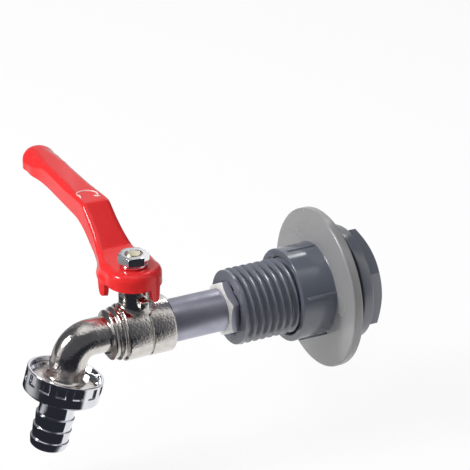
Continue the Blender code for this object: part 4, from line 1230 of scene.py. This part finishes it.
    def spread(self, x: Array, height: Array) -> Array:
        """Outward flare of the skirt's flanks: f times two eased shares, low and beside the hub.

        Args:
            x: Places along the lever.
            height: Heights above the tap's axis.

        Returns:
            The distances that the wall stands out by.
        """
        low = ease((self.flare_top - height) / (self.flare_top - self.skirt_bottom))
        beside = (ease((x - self.flare_start[0]) / self.flare_start[1])
                  * ease((self.flare_end[0] - x) / self.flare_end[1]))
        return self.flare * low * beside

    def edge(self, x: Array) -> Array:
        """Rounding of the top edge: sharper at the riser than on the hub and the grip."""
        return np.interp(x, *zip(*self.edges))

    def skin(self, inset: float, edge_less: float, side_rows: int, edge_rows: int,
             top_rows: int) -> Array:
        """One skin of the handle, from the left lower edge over the top to the right.

        A row holds the same place on every cross-line. Side rows run straight up, edge rows
        turn in by e (1 - cos t) while they rise by e sin t, and top rows cross the top face.

        Args:
            inset: Distance inside the outer plan, which also lowers the top.
            edge_less: Amount that the edge rounding is less than the outer one.
            side_rows: Rows on each side wall.
            edge_rows: Rows on each rounded edge.
            top_rows: Rows across the top.

        Returns:
            The points as rows by columns by (x, y, z), about the stem's axis.
        """
        line, inward = self.outline()
        line = line + inward * inset
        edge = np.maximum(self.edge(line[:, 0]) - edge_less, self.least_edge)
        t = np.linspace(0.0, QUARTER_TURN, edge_rows)[:, None]
        turn_in = edge * (1.0 - np.cos(t))
        flat_edge = line[None] + inward[None] * turn_in[..., None]
        rise = edge * (np.sin(t) - 1.0)
        edge_height = self.top(flat_edge[..., 0]) - inset + rise
        share = np.linspace(0.0, 1.0, side_rows, endpoint=False)[:, None]
        halves = []
        for sign in (1.0, -1.0):
            low = self.bottom(line[:, 0], sign * line[:, 1])
            side_height = low + (edge_height[:1] - low) * share
            side = np.broadcast_to(line, (side_rows, *line.shape))
            flat = np.concatenate([side, flat_edge])
            height = np.concatenate([side_height, edge_height])
            flat = flat - inward * self.spread(flat[..., 0], height)[..., None]
            halves.append(np.stack([flat[..., 0], sign * flat[..., 1], height], axis=-1))
        across = np.linspace(1.0, -1.0, top_rows + 2)[1:-1, None]
        crown = np.broadcast_to(flat_edge[-1, :, 0], (top_rows, len(line)))
        top = np.stack([crown, across * flat_edge[-1, :, 1],
                        np.broadcast_to(edge_height[-1], crown.shape)], axis=-1)
        return np.concatenate([halves[0], top, halves[1][::-1]])

    def bead(self, knots: Sequence[tuple[float, float]]) -> Array:
        """Lay a half-round bead on the grip, which dives into it at both ends.

        With t from -1 to 1 along the bead, its radius is r (1 - t^8). It follows the top
        face and the rounded edge beside it: a point d beyond the edge's start drops by
        e - sqrt(e^2 - d^2).

        Args:
            knots: Places on the grip that the bead passes through.

        Returns:
            The grid of points, about the stem's axis.
        """
        line = spline(np.array(knots), self.bead_rows)
        side = unit(np.gradient(line, axis=0))[:, ::-1] * (1.0, -1.0)
        share = np.linspace(-1.0, 1.0, len(line))[:, None]
        radius = self.mark * (1.0 - share ** 8)
        around = angles(self.bead_columns)
        flat = line[:, None] + side[:, None] * (radius * np.cos(around))[..., None]
        start = np.interp(flat[..., 0], *zip(*self.widths)) - self.grip_edge
        past = np.clip(np.abs(flat[..., 1]) - start, 0.0, self.grip_edge * 0.98)
        drop = self.grip_edge - np.sqrt(self.grip_edge ** 2 - past ** 2)
        height = self.top(flat[..., 0]) - drop + radius * np.sin(around)
        return np.concatenate([flat, height[..., None]], axis=-1)

    def arrow(self) -> list[Array]:
        """Raise a curved arrow with a head at each end, which shows the way to turn.

        Returns:
            The grids of its beads, about the stem's axis.
        """
        turn = np.radians(np.linspace(*self.mark_arc))[:, None]
        bow = (np.array(self.mark_radii) * np.hstack([np.cos(turn), np.sin(turn)])
               + np.array(self.mark_centre))
        return [self.bead(knots) for knots in (bow, *self.mark_heads)]

    def build(self) -> None:
        """Build the handle and its mark."""
        stem = np.array(STEM_AXIS.origin)
        outer = self.skin(inset=0.0, edge_less=0.0, side_rows=10, edge_rows=9, top_rows=17)
        inner = self.skin(inset=self.wall, edge_less=1.0, side_rows=6, edge_rows=5,
                          top_rows=9)
        shell = Shell().add(np.concatenate([outer, inner[::-1]]) + stem,
                            closed_columns=False)
        for bead in self.arrow():
            # The arrow's beads take the pale finish, a painted highlight.
            shell.add(bead + stem, closed_rows=False, finish=1)
        mount(shell, "enamelled_lever", [ENAMEL, ENAMEL_PAINTED_HIGHLIGHT], Body.LEVER, "red_paint",
              "handle")


@dataclass
class HoseUnion:
    """The union nut, its washer and the barbed hose tail below the outlet."""

    nut: float = 16.2
    height: float = 10.6
    bore: float = 13.4
    lip: float = 14.9
    pockets: int = 14
    pocket_width: float = 4.3
    pocket_top: float = 0.9
    pocket_height: float = 4.5
    pocket_depth: float = 0.8
    slope: float = 0.22
    collar_top: float = 3.0
    shank: float = 8.5
    neck: float = 7.5
    tail_bore: float = 5.6
    flange: float = 13.1
    flange_top: float = 8.0
    flange_bottom: float = 9.1
    washer_top: float = 6.5
    washer_bottom: float = 7.7
    barb: float = 8.3
    barb_root: float = 7.6
    barb_tops: tuple[float, ...] = (19.1, 24.5, 29.9)
    tail_end: float = 34.1
    wall_top: float = 0.55
    wall_middle: tuple[float, float] = (2.4, 4.2)
    wall_bottom: float = 7.0
    foot_chamfer: float = 1.9
    foot_rise: float = 1.4
    hole_clearance: float = 0.3
    floor: float = 1.2
    washer_columns: int = 128

    def pocket_share(self, angle: Array, depth: Array) -> Array:
        """Say how far a place lies into a pocket: 0 outside, 1 on its floor.

        It is the lesser of two ramps: one by the distance along the rim to the pocket's
        side, the other by the distance to its top or bottom.

        Args:
            angle: Angles round the nut.
            depth: Distances below the rim.

        Returns:
            The shares.
        """
        step = FULL_TURN / self.pockets
        away = np.abs(np.mod(angle + step / 2, step) - step / 2) * self.nut
        sideways = (self.pocket_width / 2 - away) / self.slope
        middle = self.pocket_top + self.pocket_height / 2
        upright = (self.pocket_height / 2 - np.abs(depth - middle)) / self.slope
        return np.clip(np.minimum(sideways, upright), 0.0, 1.0)

    def union_nut(self) -> None:
        """Build the nut with its pockets.

        Columns and rows are set close at the pockets' edges, so that these stay crisp. The
        wall's radius is the nut's less the pocket's depth times the pocket's share.
        """
        step = FULL_TURN / self.pockets
        side = self.pocket_width / 2 / self.nut
        ramp = self.slope / self.nut
        marks = np.array([-step / 2, -step / 2 * 0.9, -side - ramp * 0.3, -side,
                          -side + ramp, -side + ramp * 1.3, -side * 0.4, side * 0.4,
                          side - ramp * 1.3, side - ramp, side, side + ramp * 0.3,
                          step / 2 * 0.9])
        around = (np.arange(self.pockets)[:, None] * step + marks).reshape(1, -1)
        high, low = self.pocket_top, self.pocket_top + self.pocket_height
        depth = np.array([self.wall_top, high - 0.1, high, high + self.slope,
                          high + self.slope * 1.4, *self.wall_middle,
                          low - self.slope * 1.4, low - self.slope, low, low + 0.1,
                          self.wall_bottom])[:, None]
        wall = OUTLET_AXIS.turn(
            self.nut - self.pocket_depth * self.pocket_share(around, depth), around, depth)
        hole, floor = self.shank + self.hole_clearance, self.height - self.floor
        rest = rounded([
            (self.nut, self.wall_bottom + 0.4, 0.0),
            (self.nut, self.height - self.foot_rise, 0.5),
            (self.nut - self.foot_chamfer, self.height, 0.35), (hole, self.height, 0.3),
            (hole, floor, 0.2), (self.bore, floor, 0.3),
            (self.bore, self.collar_top + 1.4, 0.3), (self.lip, self.collar_top - 0.4, 0.4),
            (self.lip, 0.0, 0.35), (self.nut, 0.0, 0.35)], 6)
        level = np.ones_like(around)
        shell = Shell().add(np.concatenate([
            wall, OUTLET_AXIS.turn(rest[:, :1] * level, around, rest[:, 1:])]))
        mount(shell, "union_nut_fine", [CHROME], Body.TAP, "chrome_plate", "union_nut",
              bevel_mm=0.07)

    def tail(self) -> None:
        """Turn the hose tail: flange, waisted neck and barbs with an edge towards the nut."""
        corners = [(self.tail_bore, self.flange_top, 0.2), (self.flange, self.flange_top, 0.1),
                   (self.flange, self.flange_bottom, 0.1),
                   (self.shank, self.flange_bottom, 0.0), (self.shank, self.height, 0.1),
                   (self.shank, self.height + 0.5, 0.5),
                   (self.neck, self.height + 2.4, 3.0),
                   (self.neck, self.barb_tops[0] - 0.3, 0.4)]
        for index, top in enumerate(self.barb_tops):
            corners += [(self.barb, top, 0.12), (self.barb - 0.05, top + 0.5, 0.3)]
            if index < len(self.barb_tops) - 1:
                corners.append((self.barb_root, self.barb_tops[index + 1] - 0.25, 0.25))
        corners += [(self.barb_root - 0.1, self.tail_end - 0.6, 0.8),
                    (self.barb_root - 0.9, self.tail_end, 0.4),
                    (self.tail_bore, self.tail_end, 0.3)]
        mount(Shell().add(turned(OUTLET_AXIS, rounded(corners))), "barbed_tail", [CHROME],
              Body.TAP, "chrome_plate", "hose_tail")

    def washer(self) -> None:
        """Turn the flat rubber washer in the union."""
        ring = oblong((self.tail_bore, self.flange), (self.washer_top, self.washer_bottom),
                      (0.2,) * 4)
        mount(Shell().add(turned(OUTLET_AXIS, ring, self.washer_columns)),
              "hose_washer_fine", [RUBBER], Body.TAP, "black_rubber", "hose_washer")

    def build(self) -> None:
        """Build every piece of the union."""
        self.union_nut()
        self.tail()
        self.washer()


@dataclass
class InnerPieces:
    """The solids inside the valve, which keep their own meshes and take a finish."""

    finishes: dict[str, Finish] = field(default_factory=lambda: {
        "ball": BALL_CHROME, "seat_inlet": FLUOROPOLYMER, "seat_outlet": FLUOROPOLYMER,
        "stem_thrust_washer": FLUOROPOLYMER, "gland_packing": FLUOROPOLYMER,
        "adapter_o_ring": RUBBER, "stem_o_ring_lower": RUBBER, "stem_o_ring_upper": RUBBER})

    def build(self) -> None:
        """Give each solid its material."""
        for name, finish in self.finishes.items():
            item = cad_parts[name]
            item.data.materials.clear()
            item.data.materials.append(finish.build())
            LOG.info("%s: %s", name, finish.name)


def aimed(azimuth: float, elevation: float) -> Array:
    """Axes of what looks back from a direction: right, up and back, as columns.

    The direction is (cos e sin a, -cos e cos a, sin e).

    Args:
        azimuth: The angle a round the tap, from -Y towards +X, in degrees.
        elevation: The angle e above the horizon, in degrees.

    Returns:
        The three axes.
    """
    a, e = math.radians(azimuth), math.radians(elevation)
    back = np.array([math.sin(a) * math.cos(e), -math.cos(a) * math.cos(e), math.sin(e)])
    right = np.array([math.cos(a), math.sin(a), 0.0])
    return np.stack([right, np.cross(back, right), back], axis=1)


def hang(item: bpy.types.Object, place: Sequence[float], axes: Array) -> None:
    """Put a camera or a lamp in the scene at a place, turned to its axes.

    Args:
        item: The camera's or the lamp's object.
        place: Its place in metres.
        axes: Its right, up and back directions, as columns.
    """
    item.matrix_world = Matrix.Translation(place) @ Matrix(axes.tolist()).to_4x4()
    bpy.context.scene.collection.objects.link(item)


def cleared_tree(owner: bpy.types.Material | bpy.types.World) -> bpy.types.NodeTree:
    """Give a material or a world an empty node tree.

    Args:
        owner: The material or the world.

    Returns:
        Its node tree.
    """
    owner.use_nodes = True
    owner.node_tree.nodes.clear()
    return owner.node_tree


def eyes_and_gloss(tree: bpy.types.NodeTree) -> bpy.types.NodeSocket:
    """Tell the rays that look from those that light.

    Args:
        tree: The node tree.

    Returns:
        A socket that is 1 for camera, glossy and transmission rays, and 0 for the rest.
    """
    path = add_node(tree, "ShaderNodeLightPath")
    seen = add_node(tree, "ShaderNodeMath", {"operation": "MAXIMUM"},
                    {0: path.outputs["Is Camera Ray"], 1: path.outputs["Is Glossy Ray"]})
    clear = add_node(tree, "ShaderNodeMath", {"operation": "MAXIMUM"},
                     {0: seen.outputs["Value"], 1: path.outputs["Is Transmission Ray"]})
    return clear.outputs["Value"]


@dataclass(frozen=True)
class Lamp:
    """A square soft light that faces the tap. Angles are in degrees, lengths in metres."""

    name: str
    azimuth: float
    elevation: float
    distance: float
    size: float
    watts: float
    in_gloss: bool = False

    def build(self, target: Array) -> None:
        """Hang the lamp.

        Args:
            target: The place that it faces, in metres.
        """
        data = bpy.data.lights.new(self.name, "AREA")
        data.shape, data.size, data.energy = "SQUARE", self.size, self.watts
        item = bpy.data.objects.new(self.name, data)
        axes = aimed(self.azimuth, self.elevation)
        hang(item, target + axes[:, 2] * self.distance, axes)
        item.visible_glossy = self.in_gloss


@dataclass(frozen=True)
class Card:
    """A dark card on part of a sphere, with a white opening. Angles are in degrees.

    The opening is given by its middle azimuth and elevation, half width and half height.
    """

    name: str
    colour: str
    azimuth: float
    spread: float
    top: float
    window: tuple[float, float, float, float]
    bottom: float = -3.0
    top_fade: float = 15.0
    window_fade: float = 8.0


@dataclass
class Studio:
    """The camera at the photograph's angle, a plain pale floor and soft light.

    Gloss sees dark cards above, beyond and below the tap, whose edges fade to white. The
    low card starts close to the tap on the camera's side and further off beyond it, and on
    the left it is pale in a ring. Beyond, the ring's two limits and the ring's sector are
    each the start of an ease and its length. Lengths are in metres where no name says
    millimetres, and angles are in degrees.
    """

    eye: tuple[float, float, float] = (0.5657, -0.3270, 0.3252)
    azimuth: float = 63.33
    elevation: float = 24.75
    lens: float = 127.33
    sensor: float = 36.0
    clip: tuple[float, float] = (0.05, 20.0)
    floor_level: float = -0.062
    floor_half: float = 3.0
    glow: float = 0.88
    ambient: float = 0.34
    target: tuple[float, float, float] = (-0.02, -0.06, 0.0)
    lamps: tuple[Lamp, ...] = (
        Lamp("overhead", 20.0, 72.0, 1.1, 0.9, 4.0),
        Lamp("left", -13.0, 36.0, 1.2, 0.30, 8.0, in_gloss=True),
        Lamp("left_fill", -25.0, 34.0, 1.3, 0.5, 6.5),
        Lamp("far", -130.0, 50.0, 1.2, 0.16, 0.5, in_gloss=True),
        Lamp("right", 120.0, 30.0, 1.4, 0.7, 0.3))
    cards: tuple[Card, ...] = (
        Card("dark_flag_above", "#56585D", 10.0, 133.0, 72.0, (-13.0, 18.0, 7.0, 22.0)),
        Card("grey_flag_beyond", "#6E7078", -150.0, 75.0, 85.0, (-117.0, 25.0, 15.0, 15.0)))
    card_distance: float = 1.6
    card_fade: float = 35.0
    card_columns: int = 81
    card_rows: int = 41
    low_rows: int = 40
    low_power: float = 2.5
    low_colour: str = "#2B2D34"
    low_azimuth: float = 10.0
    low_spread: float = 135.0
    low_near_mm: float = 8.0
    low_far_mm: float = 72.0
    low_fades_mm: tuple[float, float] = (12.0, 30.0)
    low_middle_mm: float = -115.0
    low_lift_mm: float = 0.5
    beyond: tuple[float, float] = (104.0, 25.0)
    ring_mm: tuple[float, float] = (150.0, 60.0)
    ring_end_mm: tuple[float, float] = (500.0, 100.0)
    ring_share: float = 0.55
    ring_sector: tuple[float, float] = (10.0, 40.0)

    def camera(self) -> None:
        """Set the camera at the photograph's place, angle and lens."""
        data = bpy.data.cameras.new("camera")
        data.lens, data.sensor_width = self.lens, self.sensor
        data.clip_start, data.clip_end = self.clip
        item = bpy.data.objects.new("camera", data)
        hang(item, self.eye, aimed(self.azimuth, self.elevation))
        bpy.context.scene.camera = item

    def floor(self) -> None:
        """Lay a floor that keeps shadows, and is white where eyes or gloss see it."""
        half = self.floor_half * MM_PER_METRE
        grid = np.array([[(-half, -half, 0.0), (half, -half, 0.0)],
                         [(-half, half, 0.0), (half, half, 0.0)]])
        grid[..., 2] = self.floor_level * MM_PER_METRE
        made = bpy.data.materials.new("white_paper")
        tree = cleared_tree(made)
        looked_at = eyes_and_gloss(tree)
        paper = add_node(tree, "ShaderNodeBsdfDiffuse", {"Color": linear("#F2F2F2")})
        glow = add_node(tree, "ShaderNodeEmission", {"Color": linear("#FFFFFF")})
        share = add_node(tree, "ShaderNodeMath", {"operation": "MULTIPLY", 1: self.glow},
                         {0: looked_at})
        mixed = add_node(tree, "ShaderNodeMixShader", {},
                         {0: share.outputs["Value"], 1: paper.outputs["BSDF"],
                          2: glow.outputs["Emission"]})
        add_node(tree, "ShaderNodeOutputMaterial", {}, {"Surface": mixed.outputs["Shader"]})
        Shell().add(grid, False, False).make("floor", [made])

    def flag(self, name: str, colour: str, grid: Array, edge: Array) -> None:
        """Stand a dark card where only gloss sees it, with an edge that fades to white.

        Args:
            name: The card's name.
            colour: Its colour as a hex code.
            grid: Its points in millimetres.
            edge: How white each point is, from 0 to 1.
        """
        made = bpy.data.materials.new(name)
        tree = cleared_tree(made)
        white = add_node(tree, "ShaderNodeAttribute", {"attribute_name": "edge"})
        mixed = add_node(tree, "ShaderNodeMix",
                         {"data_type": "RGBA", MIX_FIRST: linear(colour),
                          MIX_SECOND: linear("#FFFFFF")},
                         {0: white.outputs["Fac"]})
        glow = add_node(tree, "ShaderNodeEmission", {}, {"Color": mixed.outputs[MIX_RESULT]})
        add_node(tree, "ShaderNodeOutputMaterial", {}, {"Surface": glow.outputs["Emission"]})
        item = Shell().add(grid, False, False).make(name, [made])
        store = item.data.attributes.new("edge", "FLOAT", "POINT")
        store.data.foreach_set("value", edge.astype(np.float32).ravel())
        for kind in ("camera", "diffuse", "shadow", "transmission", "volume_scatter"):
            setattr(item, f"visible_{kind}", False)

    def round_card(self, card: Card) -> None:
        """Set a card that is part of a sphere: R (cos e sin a, -cos e cos a, sin e).

        Args:
            card: The card's name, colour, reach and opening.
        """
        offset = np.linspace(-card.spread, card.spread, self.card_columns)[None, :]
        degrees = card.azimuth + offset
        elevation = np.linspace(card.bottom, card.top, self.card_rows)[:, None]
        a, e = np.radians(degrees), np.radians(elevation)
        points = MM_PER_METRE * self.card_distance * np.stack(np.broadcast_arrays(
            np.cos(e) * np.sin(a), -np.cos(e) * np.cos(a), np.sin(e)), axis=-1)
        sideways = ease((np.abs(offset) - card.spread + self.card_fade) / self.card_fade)
        upward = ease((elevation - card.top + card.top_fade) / card.top_fade)
        middle, height, half_width, half_height = card.window
        past = np.maximum(np.abs(degrees - middle) - half_width,
                          np.abs(elevation - height) - half_height)
        opening = 1.0 - ease(past / card.window_fade)
        self.flag(card.name, card.colour, points,
                  np.maximum(np.maximum(sideways, upward), opening))

    def floor_card(self) -> None:
        """Lay the low card round a point below the spout: (r sin a, m - r cos a)."""
        offset = np.linspace(-self.low_spread, self.low_spread, self.card_columns)[None, :]
        degrees = self.low_azimuth + offset
        a = np.radians(degrees)
        beyond = ease((degrees - self.beyond[0]) / self.beyond[1])
        start = self.low_near_mm + (self.low_far_mm - self.low_near_mm) * beyond
        share = np.linspace(0.0, 1.0, self.low_rows)[:, None] ** self.low_power
        out = start + (MM_PER_METRE * self.card_distance - start) * share
        flat = np.stack(np.broadcast_arrays(
            out * np.sin(a), -out * np.cos(a) + self.low_middle_mm,
            self.floor_level * MM_PER_METRE + self.low_lift_mm), axis=-1)
        sideways = ease((np.abs(offset) - self.low_spread + self.card_fade) / self.card_fade)
        near = 1.0 - ease((out - start) / (self.low_fades_mm[0]
                                           + self.low_fades_mm[1] * beyond))
        ring = (ease((out - self.ring_mm[0]) / self.ring_mm[1])
                * ease((self.ring_end_mm[0] - out) / self.ring_end_mm[1]))
        left = (self.ring_share * ring
                * ease((self.ring_sector[0] - degrees) / self.ring_sector[1]))
        white = np.maximum(np.maximum(sideways, near), left)
        self.flag("dark_flag_below", self.low_colour, flat, white)

    def world(self) -> None:
        """Light the room: plain white to eyes and gloss, an even grey to matt surfaces."""
        world = bpy.data.worlds.new("studio")
        bpy.context.scene.world = world
        tree = cleared_tree(world)
        level = add_node(tree, "ShaderNodeMapRange", {"To Min": self.ambient, "To Max": 1.0},
                         {"Value": eyes_and_gloss(tree)})
        white = add_node(tree, "ShaderNodeBackground", {"Color": linear("#FFFFFF")},
                         {"Strength": level.outputs["Result"]})
        add_node(tree, "ShaderNodeOutputWorld", {}, {"Surface": white.outputs["Background"]})

    def build(self) -> None:
        """Set the camera, the floor, the room, its cards and its lamps."""
        self.camera()
        self.floor()
        self.world()
        for card in self.cards:
            self.round_card(card)
        self.floor_card()
        for lamp in self.lamps:
            lamp.build(np.array(self.target))
        bpy.context.scene.view_settings.view_transform = "Standard"


def main() -> None:
    """Build the tap and the studio."""
    logging.basicConfig(level=logging.INFO, format="%(name)s: %(message)s")
    for part in (TankConnection(), InletAdapter(), ValveBody(), Stem(), Handle(),
                 HoseUnion(), InnerPieces(), Studio()):
        part.build()
        LOG.info("%s built", type(part).__name__)


if __name__ == "__main__":
    main()
